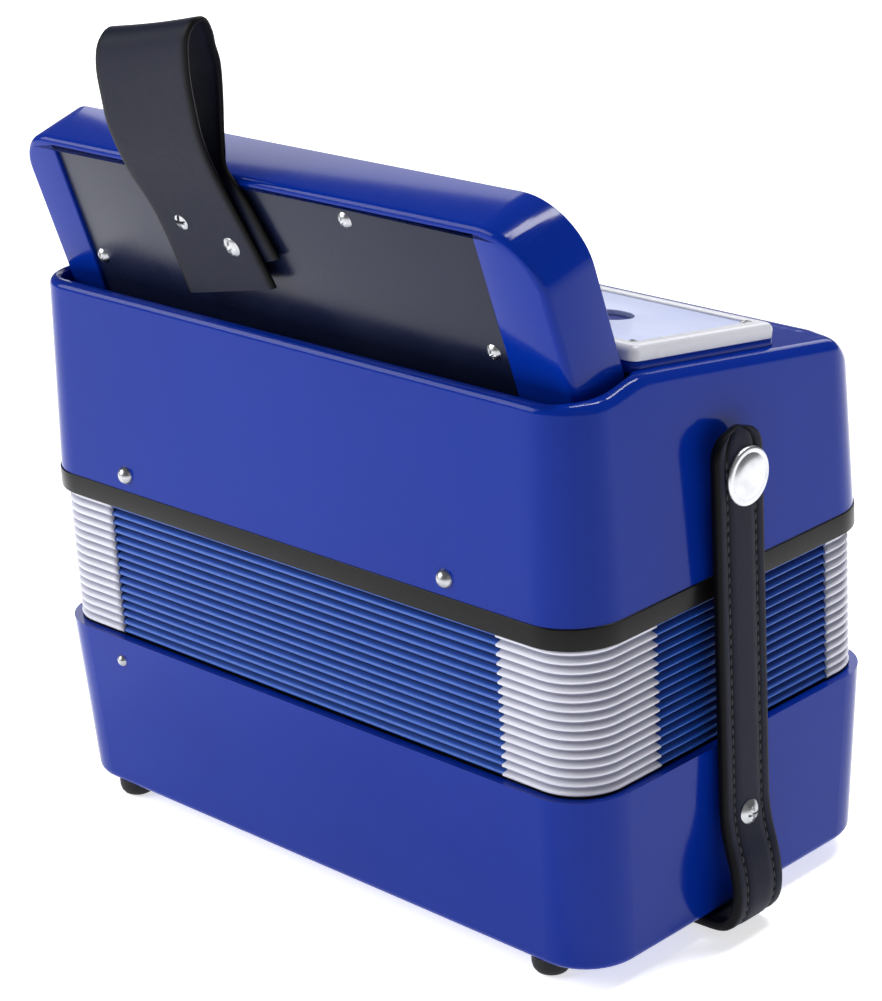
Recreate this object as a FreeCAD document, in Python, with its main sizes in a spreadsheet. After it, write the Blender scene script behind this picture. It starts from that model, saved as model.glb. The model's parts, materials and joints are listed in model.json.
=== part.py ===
"""A small piano accordion, standing on its bass end.

Z is up. X runs along the keyboard, with the chin end at -X. The player sits on the -Y side.
The origin is on the floor, under the middle of the accordion's outline.
"""
import FreeCAD, Part
import math
import os
import Sketcher
from FreeCAD import Placement, Rotation, Vector

SIZES = [
    # outline of the body
    ("body_len", 235.0, "length of the cases along the keyboard"),
    ("body_depth", 133.5, "depth of the cases, player's side to front"),
    ("corner_r", 18.0, "upright corners of the cases"),
    ("case_y", 10.5, "middle of the cases, in front of the origin"),
    ("wall", 3.0, "wall of both cases"),
    ("foot_h", 6.0, "height of the feet"),
    ("foot_r", 6.0, "radius of a foot"),
    ("foot_inset_x", 24.0, "foot, in from the end of the case"),
    ("foot_inset_y", 8.5, "foot, in from the side of the case"),
    # bass side
    ("bass_h", 55.5, "height of the bass case"),
    ("bass_rim", 0.75, "how far the bass rim stands out past the body on each side"),
    ("bass_draft", 2.45, "how much narrower each side is at the bottom of the bass case"),
    ("bass_edge_r", 2.5, "rounding of the bottom edge"),
    ("well_x", 12.0, "middle of the button well"),
    ("well_y", 32.5, "middle of the button well"),
    ("well_len", 100.0, "button well, along X"),
    ("well_wide", 39.0, "button well, along Y"),
    ("well_deep", 8.0, "depth of the button well"),
    ("button_pitch", 17.0, "spacing of the bass buttons"),
    ("button_x", -25.5, "first bass button, from the middle of the body"),
    ("button_r", 5.0, "bass button"),
    ("button_cap_h", 3.0, "thickness of a button's cap"),
    ("button_lift", 1.0, "button cap above the underside of the case"),
    ("button_travel", 3.5, "travel of a button"),
    ("stem_r", 2.0, "button stem"),
    ("air_x", 53.0, "air button, from the middle of the body"),
    ("air_button_r", 6.5, "air button"),
    ("air_valve_r", 10.0, "disc of the air valve"),
    ("valve_r", 7.0, "disc of a bass valve"),
    ("valve_h", 3.0, "thickness of a valve disc"),
    ("valve_lip", 2.5, "how far a valve disc laps over its hole"),
    ("bass_board_h", 4.0, "thickness of the bass soundboard"),
    ("bass_frame_h", 11.5, "height of the bellows frame inside the bass case"),
    ("bass_block_len", 120.0, "bass reed block, along X"),
    ("bass_block_wide", 26.0, "bass reed block, along Y"),
    ("bass_block_h", 25.0, "height of the bass reed block"),
    ("bass_block_y", -35.0, "middle of the bass reed block"),
    # bellows
    ("bellows_h", 45.9, "height of the closed bellows"),
    ("bellows_inset", 4.5, "folds, in from the side of the body"),
    ("bellows_wall", 9.0, "depth of the folds"),
    ("frame_wall", 8.0, "width of the bellows frames"),
    ("trim_h", 6.7, "height of the trim strip"),
    ("trim_proud", 0.4, "how far the trim strip stands out"),
    ("trim_wall", 14.0, "width of the trim strip"),
    # treble side
    ("treble_h", 63.1, "height of the treble case at the player's rim"),
    ("treble_draft", 2.6, "how much narrower each side is at the top of the treble case"),
    ("rim_end", 19.75, "level part of the end wall's top, from the player's side"),
    ("rise_end", 33.75, "where the top stops rising, from the player's side"),
    ("rise_h", 2.7, "how far the top rises behind the neck"),
    ("top_slope", 8.6, "slope of the top towards the front, in degrees"),
    ("front_r", 14.0, "rounding of the top at the front"),
    ("lip_r", 2.2, "rounding of the top edges"),
    ("trough_side", 7.2, "end of the neck's trough, in from the end of the body"),
    ("trough_near", 7.2, "trough, in from the player's side"),
    ("trough_far", 37.75, "far edge of the trough, from the player's side"),
    ("trough_r", 9.0, "corners of the trough"),
    ("shelf_z", 46.9, "shelf under the neck, above the bottom of the treble case"),
    ("shelf_h", 3.0, "thickness of the shelf"),
    ("shelf_wide", 27.5, "shelf, from the player's side"),
    ("action_side", 15.5, "opening over the action, in from the end of the body"),
    ("action_far", 90.75, "far edge of that opening, from the player's side"),
    # grille
    ("grille_len", 220.0, "grille frame, along X"),
    ("grille_near", 34.75, "near edge of the grille frame, from the player's side"),
    ("grille_wide", 62.0, "grille frame, along the slope"),
    ("grille_r", 3.0, "corners of the grille frame"),
    ("grille_inner_r", 2.5, "corners of the opening in the grille frame, and of what lies in it"),
    ("grille_bar", 5.5, "width of the frame's bars"),
    ("grille_h", 4.4, "thickness of the frame"),
    ("grille_edge_r", 2.2, "rounding of the frame's outer edge"),
    ("boss_h", 2.2, "step under the frame, above the top of the case"),
    ("plate_h", 1.6, "thickness of the grille plate"),
    ("plate_drop", 0.6, "grille plate, below the top of the frame"),
    ("plate_gap", 0.3, "gap round the grille plate"),
    ("cloth_h", 0.6, "thickness of the grille cloth"),
    ("grille_hole_r", 8.0, "sound holes of the grille plate"),
    ("grille_hole_pitch", 36.5, "spacing of the sound holes"),
    ("grille_rest", 3.0, "ledge under the edge of the grille plate"),
    # neck
    ("neck_len", 216.0, "length of the neck"),
    ("neck_y", 12.75, "player's face of the neck at the rim's height, from the player's side"),
    ("lean", 16.8, "lean of the neck towards the player, in degrees"),
    ("neck_up", 50.0, "height of the neck along its lean"),
    ("neck_foot", 24.0, "how far the neck reaches below the rim before it is cut level"),
    ("neck_thick", 20.0, "thickness of the neck at its cheeks"),
    ("neck_board", 8.5, "thickness of the neck behind the keys"),
    ("neck_r_low", 20.0, "corner of the neck at the far end from the chin"),
    ("neck_r_chin", 13.0, "corner of the neck at the chin end"),
    ("neck_edge_r", 2.2, "rounding of the neck's player side"),
    ("neck_rim", 5.0, "rim of the neck above the key tips"),
    ("back_plate_x", -2.5, "middle of the back plate"),
    ("back_plate_len", 176.5, "length of the back plate"),
    ("back_plate_up", 47.0, "top of the back plate along the lean"),
    ("back_plate_h", 1.5, "thickness of the back plate"),
    ("back_plate_drop", 1.0, "back plate below the neck's surface"),
    ("back_plate_gap", 0.4, "gap round the back plate"),
    # keys
    ("white_count", 10, "white keys"),
    ("white_pitch", 19.0, "spacing of the white keys"),
    ("key_gap", 0.8, "gap between white keys"),
    ("keys_x", -4.25, "middle of the keyboard"),
    ("key_side_gap", 0.35, "gap between the end keys and the neck's cheeks"),
    ("key_thick", 6.0, "thickness of a white key"),
    ("key_travel_gap", 5.0, "room behind a key"),
    ("key_tip_gap", 1.0, "gap between the key tips and the rim of the neck"),
    ("black_wide", 9.5, "width of a black key"),
    ("black_up", 31.0, "tip of a black key along the lean"),
    ("black_low", 4.0, "foot of a black key's raised part along the lean"),
    ("black_rise", 6.0, "black keys above the white ones"),
    ("black_gap", 0.6, "gap between a black key and the white keys"),
    ("key_foot", 16.0, "how far a key reaches below the rim's height along the lean"),
    ("arm_wide", 6.0, "width of a key's arm"),
    ("arm_h", 5.0, "height of a key's arm"),
    ("arm_start", 28.75, "start of the arm, from the player's side"),
    ("arm_end", 87.75, "end of the arm, from the player's side"),
    ("axle_y", 38.75, "key axle, from the player's side"),
    ("axle_z", 52.9, "key axle, above the bottom of the treble case"),
    ("axle_r", 1.5, "key axle"),
    ("hub_r", 3.6, "hub of a key on the axle"),
    ("running_gap", 0.05, "radial gap of a running fit"),
    ("pallet_len", 18.0, "length of a pallet"),
    ("pallet_wide", 8.0, "width of a pallet"),
    ("pallet_lap", 2.5, "how far a pallet laps over its slot"),
    ("rest_gap", 0.3, "gap under a pallet or valve disc at rest"),
    # treble inside
    ("board_h", 5.0, "thickness of the treble soundboard"),
    ("board_z", 38.9, "underside of the treble soundboard, above the bottom of the case"),
    ("board_press", 0.15, "how far a soundboard or frame is pressed into the case wall"),
    ("treble_frame_h", 12.0, "height of the bellows frame inside the treble case"),
    ("block_len", 184.0, "treble reed blocks, along X"),
    ("block_wide", 14.0, "treble reed blocks, along Y"),
    ("block_h", 25.0, "height of the treble reed blocks"),
    ("block_pitch", 32.0, "spacing of the treble reed blocks"),
    ("block_y", 12.0, "middle of the pair of treble reed blocks"),
    ("reed_thick", 1.2, "thickness of a reed plate"),
    ("reed_gap", 2.0, "gap between reed plates"),
    ("reed_margin", 3.0, "reed plate, in from the edges of its block"),
    # fastenings
    ("pin_r", 3.0, "head of a bellows pin"),
    ("pin_shank_r", 1.2, "shank of a bellows pin"),
    ("pin_h", 2.4, "how far a bellows pin stands out"),
    ("pin_up", 5.3, "treble pins, above the bottom of the treble case"),
    ("pin_down", 8.1, "bass pins, below the rim of the bass case"),
    ("pin_chin_x", -73.0, "treble pin nearer the chin end"),
    ("pin_low_x", 67.0, "treble pin nearer the other end"),
    ("bass_pin_x", 83.7, "bass pins, from the middle"),
    ("screw_r", 2.6, "head of a small screw"),
    ("screw_head_h", 1.3, "height of a small screw's head"),
    ("screw_shank_r", 1.1, "shank of a small screw"),
    ("screw_len", 5.0, "length of a small screw"),
    ("big_screw_r", 4.0, "head of a strap screw"),
    ("big_screw_head_h", 1.8, "height of a strap screw's head"),
    ("big_screw_shank_r", 1.8, "shank of a strap screw"),
    ("big_screw_len", 10.0, "length of a strap screw"),
    # straps
    ("strap_wide", 21.0, "width of the bellows straps and hand strap"),
    ("strap_thick", 3.5, "thickness of those straps"),
    ("strap_off", 2.6, "gap between a strap and the body"),
    ("strap_y", -3.7, "middle of those straps"),
    ("strap_top", 158.0, "top of a bellows strap"),
    ("strap_hinge_z", 45.2, "where a bellows strap starts to bend"),
    ("strap_screw_z", 39.0, "strap screws"),
    ("snap_z", 143.0, "snap fasteners"),
    ("snap_y", -1.5, "snap fasteners"),
    ("snap_r", 8.75, "snap cap"),
    ("snap_h", 2.2, "thickness of a snap cap"),
    ("stud_r", 4.5, "stud under a snap"),
    ("stud_gap", 0.3, "gap between a stud and its strap"),
    ("thumb_x", -43.5, "chin side of the thumb strap"),
    ("thumb_wide", 41.5, "width of the thumb strap along the keyboard"),
    ("thumb_skew", 9.0, "how much higher the strap's other side is than its chin side"),
    ("thumb_thick", 2.0, "thickness of the thumb strap"),
    ("thumb_screw_x", -33.3, "thumb strap's screw nearer the chin"),
    ("thumb_screw_up", 33.4, "its height along the lean"),
    ("thumb_screw_step", 19.6, "from that screw to the other"),
    ("thumb_screw_drop", 5.4, "how much lower the other screw is"),
]

# Middle of the thumb strap's leather at its chin side: height along the lean, and depth behind the neck's
# player face. The outer leg rises from the plate, folds over at the top and comes down behind.
THUMB_LINE = [
    (6.8, -2.2), (26, -2.3), (38, -3.8), (48, -5.5), (58, -7), (68, -8), (77, -8.5), (85, -8.4),
    (90.3, -7.2), (93.5, -4.8), (94.5, -2), (93.3, 0.9), (88.5, 3.1), (82, 4), (74, 4), (66, 3.2),
    (58, 1.2), (52, -1.2), (38, -1.2), (30, 0), (10.9, 0),
]
# Middle of the hand strap's leather below the hinge: distance out from the end of the body, and height.
HAND_LINE = [(4.35, 43.1), (4.5, 39), (5.6, 32), (7.9, 23), (8.7, 15), (7.4, 8.5), (3, 4.2), (-6, 3.2)]
BLACK_AFTER = (0, 1, 2, 4, 5, 7, 8)

doc = FreeCAD.newDocument("piano_accordion")
sheet = doc.addObject("Spreadsheet::Sheet", "sizes")
for row, (alias, value, meaning) in enumerate(SIZES, start=1):
    sheet.set("A%d" % row, alias)
    sheet.set("B%d" % row, str(value))
    sheet.set("C%d" % row, meaning)
    sheet.setAlias("B%d" % row, alias)
doc.recompute()


def size(name):
    """The value of a named size."""
    return float(sheet.get(name))


def cells(text):
    """An expression in which every named size refers to the sheet."""
    out = text
    for alias in sorted((row[0] for row in SIZES), key=len, reverse=True):
        out = out.replace("<" + alias + ">", "sizes." + alias)
    return out


# ---- levels and places that several pieces share, as expressions
BASS_TOP = "(<foot_h> + <bass_h>)"
BELLOWS_TOP = "(<foot_h> + <bass_h> + <bellows_h>)"
TREBLE_Z = "(<foot_h> + <bass_h> + <bellows_h> + <trim_h>)"
RIM_Z = "(<foot_h> + <bass_h> + <bellows_h> + <trim_h> + <treble_h>)"
NEAR_Y = "(-<body_depth> / 2)"
HALF_LEN = "(<body_len> / 2)"
BASS_DRAFT_DEG = "atan(<bass_draft> / <bass_h>)"
TREBLE_DRAFT_DEG = "atan(<treble_draft> / <treble_h>)"
WELL_TOP = "(<foot_h> + <well_deep>)"
BOARD_Z = "(" + TREBLE_Z + " + <board_z>)"
AXLE_Z = "(" + TREBLE_Z + " + <axle_z>)"
AXLE_Y = "(" + NEAR_Y + " + <axle_y>)"
BASS_BOARD_Z = "(" + BASS_TOP + " - <bass_frame_h> - <bass_board_h>)"
KEY_BACK = "(<neck_board> + <key_travel_gap>)"
LEAN_SIN = "sin(<lean> * 1 deg)"
LEAN_COS = "cos(<lean> * 1 deg)"
SLOPE_TAN = "tan(<top_slope> * 1 deg)"


def bind(obj, prop, text):
    """Tie a property to an expression over the sheet."""
    obj.setExpression(prop, cells(text))


def number(text):
    """The present value of an expression over the sheet, worked out in a spare cell."""
    sheet.set("E1", "=" + text.replace("<", "").replace(">", "").replace(" * 1 deg", " * 1deg"))
    doc.recompute()
    return float(sheet.get("E1"))


def place(obj, at, turn_x=None):
    """Put an object at three expressions, leaning back about X if asked."""
    if turn_x is not None:
        obj.Placement = Placement(Vector(), Rotation(Vector(1, 0, 0), 10))
        bind(obj, "Placement.Rotation.Angle", turn_x)
    for axis, text in zip("xyz", at):
        bind(obj, "Placement.Base." + axis, text)
    return obj


def block(name, sides, at, turn_x=None):
    """A box from its low corner."""
    box = doc.addObject("Part::Box", name)
    for prop, text in zip(("Length", "Width", "Height"), sides):
        bind(box, prop, text)
    return place(box, at, turn_x)


def rod(name, radius, length, at, axis="z"):
    """A cylinder whose first end is at a point, running along +x, +y or +z."""
    cyl = doc.addObject("Part::Cylinder", name)
    bind(cyl, "Radius", radius)
    bind(cyl, "Height", length)
    if axis == "x":
        cyl.Placement = Placement(Vector(), Rotation(Vector(0, 1, 0), 90))
    if axis == "y":
        cyl.Placement = Placement(Vector(), Rotation(Vector(1, 0, 0), -90))
    for letter, text in zip("xyz", at):
        bind(cyl, "Placement.Base." + letter, text)
    return cyl


def fuse(name, *shapes):
    """One solid from several that overlap."""
    made = doc.addObject("Part::MultiFuse", name)
    made.Shapes = list(shapes)
    made.Refine = True
    return made


def cut(name, base, *tools):
    """A base less one or more tools."""
    made = doc.addObject("Part::Cut", name)
    made.Base = base
    made.Tool = tools[0] if len(tools) == 1 else compound(name + "_tools", *tools)
    made.Refine = True
    return made


def common(name, first, second):
    """What two solids share."""
    made = doc.addObject("Part::Common", name)
    made.Base = first
    made.Tool = second
    return made


def compound(name, *shapes):
    """Several separate solids kept together."""
    made = doc.addObject("Part::Compound", name)
    made.Links = list(shapes)
    return made


def node(name, *shapes):
    """A finished sub-part, moved with the body to its place in front of the origin."""
    made = compound(name, *shapes)
    made.Label = name
    bind(made, "Placement.Base.y", "<case_y>")
    NODES.append(made)
    return made


def origin_plane(body, role):
    """One of a body's own origin planes."""
    return [f for f in body.Origin.OriginFeatures if f.Role == role][0]


def sketch_on(body, name, role, offset=None):
    """A sketch on an origin plane, lifted off it by an expression if asked."""
    sketch = body.newObject("Sketcher::SketchObject", name)
    sketch.AttachmentSupport = [(origin_plane(body, role), "")]
    sketch.MapMode = "FlatFace"
    if offset is not None:
        bind(sketch, "AttachmentOffset.Base.z", offset)
    return sketch


def outline(sketch, points):
    """A closed outline of straight lines through points given as pairs of expressions."""
    count = len(points)
    for i in range(count):
        sketch.addGeometry(Part.LineSegment(Vector(i, i * i, 0), Vector(i + 1, (i + 1) ** 2, 0)), False)
    for i in range(count):
        sketch.addConstraint(Sketcher.Constraint("Coincident", i, 2, (i + 1) % count, 1))
    for i, (across, up) in enumerate(points):
        for kind, text in (("DistanceX", across), ("DistanceY", up)):
            index = sketch.addConstraint(Sketcher.Constraint(kind, -1, 1, i, 1, 1.0))
            bind(sketch, "Constraints[%d]" % index, text)
    return sketch


def rectangle(sketch, half_x, half_y, x="0", y="0"):
    """A closed rectangle about a point."""
    corners = (("-", "-"), ("+", "-"), ("+", "+"), ("-", "+"))
    return outline(sketch, [("%s %s (%s)" % (x, sx, half_x), "%s %s (%s)" % (y, sy, half_y))
                            for sx, sy in corners])


def pad(body, sketch, length, taper=None, symmetric=False, reverse=False):
    """A pad of a sketch, with draft if asked."""
    made = body.newObject("PartDesign::Pad", sketch.Name + "_pad")
    made.Profile = sketch
    bind(made, "Length", length)
    if taper is not None:
        bind(made, "TaperAngle", taper)
    if symmetric:
        made.SideType = "Symmetric"
    made.Reversed = reverse
    sketch.Visibility = False
    return made


def edges_where(shape, test):
    """Names of the edges whose two ends pass a test."""
    return ["Edge%d" % (i + 1) for i, e in enumerate(shape.Edges)
            if len(e.Vertexes) == 2 and test(e.Vertexes[0].Point, e.Vertexes[1].Point)]


def upright(a, b):
    """Whether an edge rises more than it runs."""
    return abs(a.z - b.z) > 3 * math.hypot(a.x - b.x, a.y - b.y)


def round_edges(body, name, feature, test, radius):
    """A fillet on the edges that pass a test."""
    doc.recompute()
    made = body.newObject("PartDesign::Fillet", name)
    made.Base = (feature, edges_where(feature.Shape, test))
    bind(made, "Radius", radius)
    return made


def rounded_block(name, half_x, half_y, height, low, radius, taper=None, downward=False):
    """A block with rounded upright corners, from a level up, or down with draft."""
    body = doc.addObject("PartDesign::Body", name)
    sketch = sketch_on(body, name + "_plan", "XY_Plane", low)
    rectangle(sketch, half_x, half_y)
    solid = pad(body, sketch, height, taper, reverse=downward)
    round_edges(body, name + "_corners", solid, upright, radius)
    return body


def ring(name, outer, inner):
    """A rounded block less a smaller one."""
    return cut(name, outer, inner)


def leaned(back, up):
    """Y and Z of a point given by its depth behind the neck's player face and its height along the lean."""
    y = "%s + <neck_y> + (%s) * %s - (%s) * %s" % (NEAR_Y, back, LEAN_COS, up, LEAN_SIN)
    z = "%s + (%s) * %s + (%s) * %s" % (RIM_Z, back, LEAN_SIN, up, LEAN_COS)
    return y, z


def leaning_block(name, x, wide, back, deep, low, high):
    """A box square to the neck: from x over a width, from a depth through a depth, low to high."""
    y, z = leaned(back, low)
    return block(name, (wide, deep, "(%s) - (%s)" % (high, low)), (x, y, z), "<lean>")


def band(line, thick):
    """The outline of a strip of leather about a line of points in the XZ plane."""
    left, right = [], []
    for i, here in enumerate(line):
        before, after = line[max(i - 1, 0)], line[min(i + 1, len(line) - 1)]
        first = Vector(*here) - Vector(*before)
        second = Vector(*after) - Vector(*here)
        for way in (first, second):
            if way.Length > 0:
                way.normalize()
        along = first + second
        along.normalize()
        side = Vector(-along.z, 0, along.x)
        bend = along.dot(second if second.Length > 0 else first)
        reach = thick / 2 / max(bend, 0.5)
        left.append(Vector(*here) + side * reach)
        right.append(Vector(*here) - side * reach)
    return Part.Face(Part.makePolygon(left + right[::-1] + left[:1]))


def strip(name, line, thick, wide):
    """A strip of leather of one width about a line in the XZ plane, centred on Y."""
    made = doc.addObject("Part::Feature", name)
    face = band(line, thick)
    face.translate(Vector(0, -wide / 2, 0))
    made.Shape = face.extrude(Vector(0, wide, 0))
    return made


NODES = []


# ---- bass side
def bass_case():
    half_x, half_y = HALF_LEN + " + <bass_rim>", "<body_depth> / 2 + <bass_rim>"
    body = doc.addObject("PartDesign::Body", "bass_outer")
    sketch = sketch_on(body, "bass_plan", "XY_Plane", BASS_TOP)
    rectangle(sketch, half_x, half_y)
    solid = pad(body, sketch, "<bass_h>", "-" + BASS_DRAFT_DEG, reverse=True)
    corners = round_edges(body, "bass_corners", solid, upright, "<corner_r>")
    floor_z = size("foot_h")
    round_edges(body, "bass_edge", corners,
                lambda a, b: abs(a.z - floor_z) < 0.01 and abs(b.z - floor_z) < 0.01, "<bass_edge_r>")
    hollow = rounded_block("bass_hollow", half_x + " - <wall>", half_y + " - <wall>",
                           "<bass_h> - <wall>", BASS_TOP, "<corner_r> - <wall>",
                           "-" + BASS_DRAFT_DEG, downward=True)
    shell = cut("bass_shell", body, hollow)
    well_at = ("<well_x> - <well_len> / 2", "<well_y> - <well_wide> / 2")
    lining = block("well_lining", ("<well_len> + 2 * <wall>", "<well_wide> + 2 * <wall>", "<well_deep> + <wall>"),
                   (well_at[0] + " - <wall>", well_at[1] + " - <wall>", "<foot_h>"))
    well = block("well_space", ("<well_len>", "<well_wide>", "<well_deep>"), (*well_at, "<foot_h>"))
    bores = [rod("well_bore_%d" % i, "<stem_r> + <running_gap>", "<wall> + 2", (x, y, WELL_TOP + " - 1"))
             for i, (x, y, _cap, _disc) in enumerate(button_places())]
    holes = [rod("strap_hole_%d" % i, "<big_screw_shank_r>", "<wall> * 3",
                 (side + HALF_LEN + (" - <wall> * 2" if side == "" else " - <wall>"), "<strap_y>", "<strap_screw_z>"),
                 "x") for i, side in enumerate(("", "-"))]
    node("bass_case", cut("bass_case_open", fuse("bass_case_solid", shell, lining), well, *bores, *holes))


def button_places():
    """X, Y, cap radius and valve radius of each bass button and of the air button."""
    places = []
    for row in range(2):
        for column in range(4):
            places.append(("<button_x> + %d * <button_pitch>" % column,
                           "<well_y> + (%d - 0.5) * <button_pitch>" % row, "<button_r>", "<valve_r>"))
    places.append(("<air_x>", "<well_y>", "<air_button_r>", "<air_valve_r>"))
    return places


def bass_action():
    names = ["bass_button_%d" % (i + 1) for i in range(8)] + ["air_button"]
    cap_z = "<foot_h> + <button_lift>"
    disc_z = BASS_BOARD_Z + " + <bass_board_h> + <rest_gap>"
    for name, (x, y, cap_r, disc_r) in zip(names, button_places()):
        cap = rod(name + "_cap", cap_r, "<button_cap_h>", (x, y, cap_z))
        stem = rod(name + "_stem", "<stem_r>", "%s + <valve_h> / 2 - (%s)" % (disc_z, cap_z), (x, y, cap_z))
        disc = rod(name + "_disc", disc_r, "<valve_h>", (x, y, disc_z))
        node(name, fuse(name + "_solid", cap, stem, disc))


def bass_inside():
    half_x, half_y = HALF_LEN + " + <bass_rim> - <wall>", "<body_depth> / 2 + <bass_rim> - <wall>"
    press = " + <board_press>"
    shrink = " - <bass_frame_h> * <bass_draft> / <bass_h>"
    board = rounded_block("bass_board_plan", half_x + shrink + press, half_y + shrink + press, "<bass_board_h>",
                          BASS_BOARD_Z + " + <bass_board_h>", "<corner_r> - <wall>", "-" + BASS_DRAFT_DEG,
                          downward=True)
    holes = [rod("bass_hole_%d" % i, disc + " - <valve_lip>", "<bass_board_h> + 2", (x, y, BASS_BOARD_Z + " - 1"))
             for i, (x, y, _cap, disc) in enumerate(button_places())]
    node("bass_soundboard", cut("bass_board_bored", board, *holes))
    outer = rounded_block("bass_frame_outer", half_x + press, half_y + press, "<bass_frame_h>", BASS_TOP,
                          "<corner_r> - <wall>", "-" + BASS_DRAFT_DEG, downward=True)
    inner = rounded_block("bass_frame_inner", half_x + " - <frame_wall>", half_y + " - <frame_wall>",
                          "<bass_frame_h> + 2", BASS_TOP + " + 1", "<corner_r> - <frame_wall>", downward=True)
    node("bellows_frame_bass", ring("bass_frame_ring", outer, inner))
    low = BASS_BOARD_Z + " + <bass_board_h>"
    node("bass_reed_block", block("bass_block", ("<bass_block_len>", "<bass_block_wide>", "<bass_block_h>"),
                                  ("-<bass_block_len> / 2", "<bass_block_y> - <bass_block_wide> / 2", low)))
    reeds = reed_row("bass_reed", 8, "<bass_block_len>", "<bass_block_h>", low, "<bass_block_y>",
                     "<bass_block_wide>")
    node("bass_reed_plates", *reeds)


def reed_row(name, count, length, height, low, middle, wide):
    """Reed plates along both faces of a reed block."""
    plates = []
    pitch = "(%s - 2 * <reed_margin>) / %d" % (length, count)
    for side, face in (("near", "%s - %s / 2 - <reed_thick>" % (middle, wide)), ("far", "%s + %s / 2" % (middle, wide))):
        for i in range(count):
            plates.append(block("%s_%s_%d" % (name, side, i), (pitch + " - <reed_gap>", "<reed_thick>",
                                height + " - 2 * <reed_margin>"),
                                ("-(%s) / 2 + <reed_margin> + <reed_gap> / 2 + %d * %s" % (length, i, pitch), face,
                                 low + " + <reed_margin>")))
    return plates


def feet():
    pads = []
    for i, (sx, sy) in enumerate(((-1, -1), (1, -1), (1, 1), (-1, 1))):
        at = ("%d * (%s - <foot_inset_x>)" % (sx, HALF_LEN), "%d * (<body_depth> / 2 - <foot_inset_y>)" % sy, "0")
        body = rod("foot_%d" % i, "<foot_r>", "<foot_h>", at)
        pads.append(body)
    node("feet", *pads)


# ---- bellows
def bellows():
    def ring_between(name, outset, wall_wide, height, low, radius):
        outer = rounded_block(name + "_outer", HALF_LEN + outset, "<body_depth> / 2" + outset, height, low, radius)
        inner = rounded_block(name + "_inner", HALF_LEN + outset + " - " + wall_wide,
                              "<body_depth> / 2" + outset + " - " + wall_wide, height + " + 2", low + " - 1",
                              "%s - %s + 6" % (radius, wall_wide))
        return ring(name + "_ring", outer, inner)
    node("bellows", ring_between("folds", " - <bellows_inset>", "<bellows_wall>", "<bellows_h>", BASS_TOP,
                                 "(<corner_r> - <bellows_inset>)"))
    node("treble_trim", ring_between("trim", " + <trim_proud>", "<trim_wall>", "<trim_h>", BELLOWS_TOP,
                                     "(<corner_r> + <trim_proud>)"))


def dome_pin(name, x, side, z, radius, shank, proud, surface, reach):
    """A round-headed pin square to the player's side or the front."""
    sign = "-" if side < 0 else ""
    ball = doc.addObject("Part::Sphere", name + "_head")
    bind(ball, "Radius", radius)
    place(ball, (x, "%s(%s + %s - %s)" % (sign, surface, proud, radius), z))
    low = "%s(%s)" % (sign, surface) if side < 0 else surface + " - " + reach
    low_y = low if side > 0 else low + " - 0.5"
    pin = rod(name + "_shank", shank, reach + " + 0.5", (x, low_y, z), "y")
    return fuse(name, ball, pin)


def pins():
    treble, bass = [], []
    z = TREBLE_Z + " + <pin_up>"
    surface = "(<body_depth> / 2 - <treble_draft> * <pin_up> / <treble_h>)"
    for i, x in enumerate(("<pin_chin_x>", "<pin_low_x>")):
        for side in (-1, 1):
            treble.append(dome_pin("treble_pin_%d_%s" % (i, "near" if side < 0 else "far"), x, side, z, "<pin_r>",
                                   "<pin_shank_r>", "<pin_h>", surface, "(<wall> + 6)"))
    z = BASS_TOP + " - <pin_down>"
    surface = "(<body_depth> / 2 + <bass_rim> - <bass_draft> * <pin_down> / <bass_h>)"
    for side, x in ((-1, "-<bass_pin_x>"), (1, "<bass_pin_x>")):
        bass.append(dome_pin("bass_pin_" + ("near" if side < 0 else "far"), x, side, z, "<pin_r> * 0.7",
                             "<pin_shank_r>", "<pin_h> * 0.6", surface, "(<wall> + 6)"))
    node("treble_pins", *treble)
    node("bass_pins", *bass)


# ---- treble side
def treble_profile(name, inset, low):
    """The end view of the treble case, drawn in by an inset, as a bar across the body."""
    near = NEAR_Y + " - 2"
    rim = RIM_Z + " - (%s)" % inset
    rise_y = NEAR_Y + " + <rise_end>"
    rise_z = rim + " + <rise_h>"
    front_low = "<body_depth> / 2 + 0.1 - (%s)" % inset
    front_high = front_low + " - <treble_draft>"
    front_z = "%s - (<body_depth> - <rise_end>) * %s" % (rise_z, SLOPE_TAN)
    body = doc.addObject("PartDesign::Body", name)
    sketch = sketch_on(body, name + "_side", "YZ_Plane")
    outline(sketch, [(near, low), (front_low, low), (front_low, TREBLE_Z), (front_high, front_z),
                     (rise_y, rise_z), (NEAR_Y + " + <rim_end>", rim), (near, rim)])
    bar = pad(body, sketch, "<body_len> + 20", symmetric=True)
    top, front = number(TREBLE_Z) + 5, number("<body_depth>") / 2 - 10
    round_edges(body, name + "_front", bar,
                lambda a, b: min(a.z, b.z) > top and min(a.y, b.y) > front and abs(a.x - b.x) > 10,
                "<front_r> - (%s)" % inset)
    return body


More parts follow.
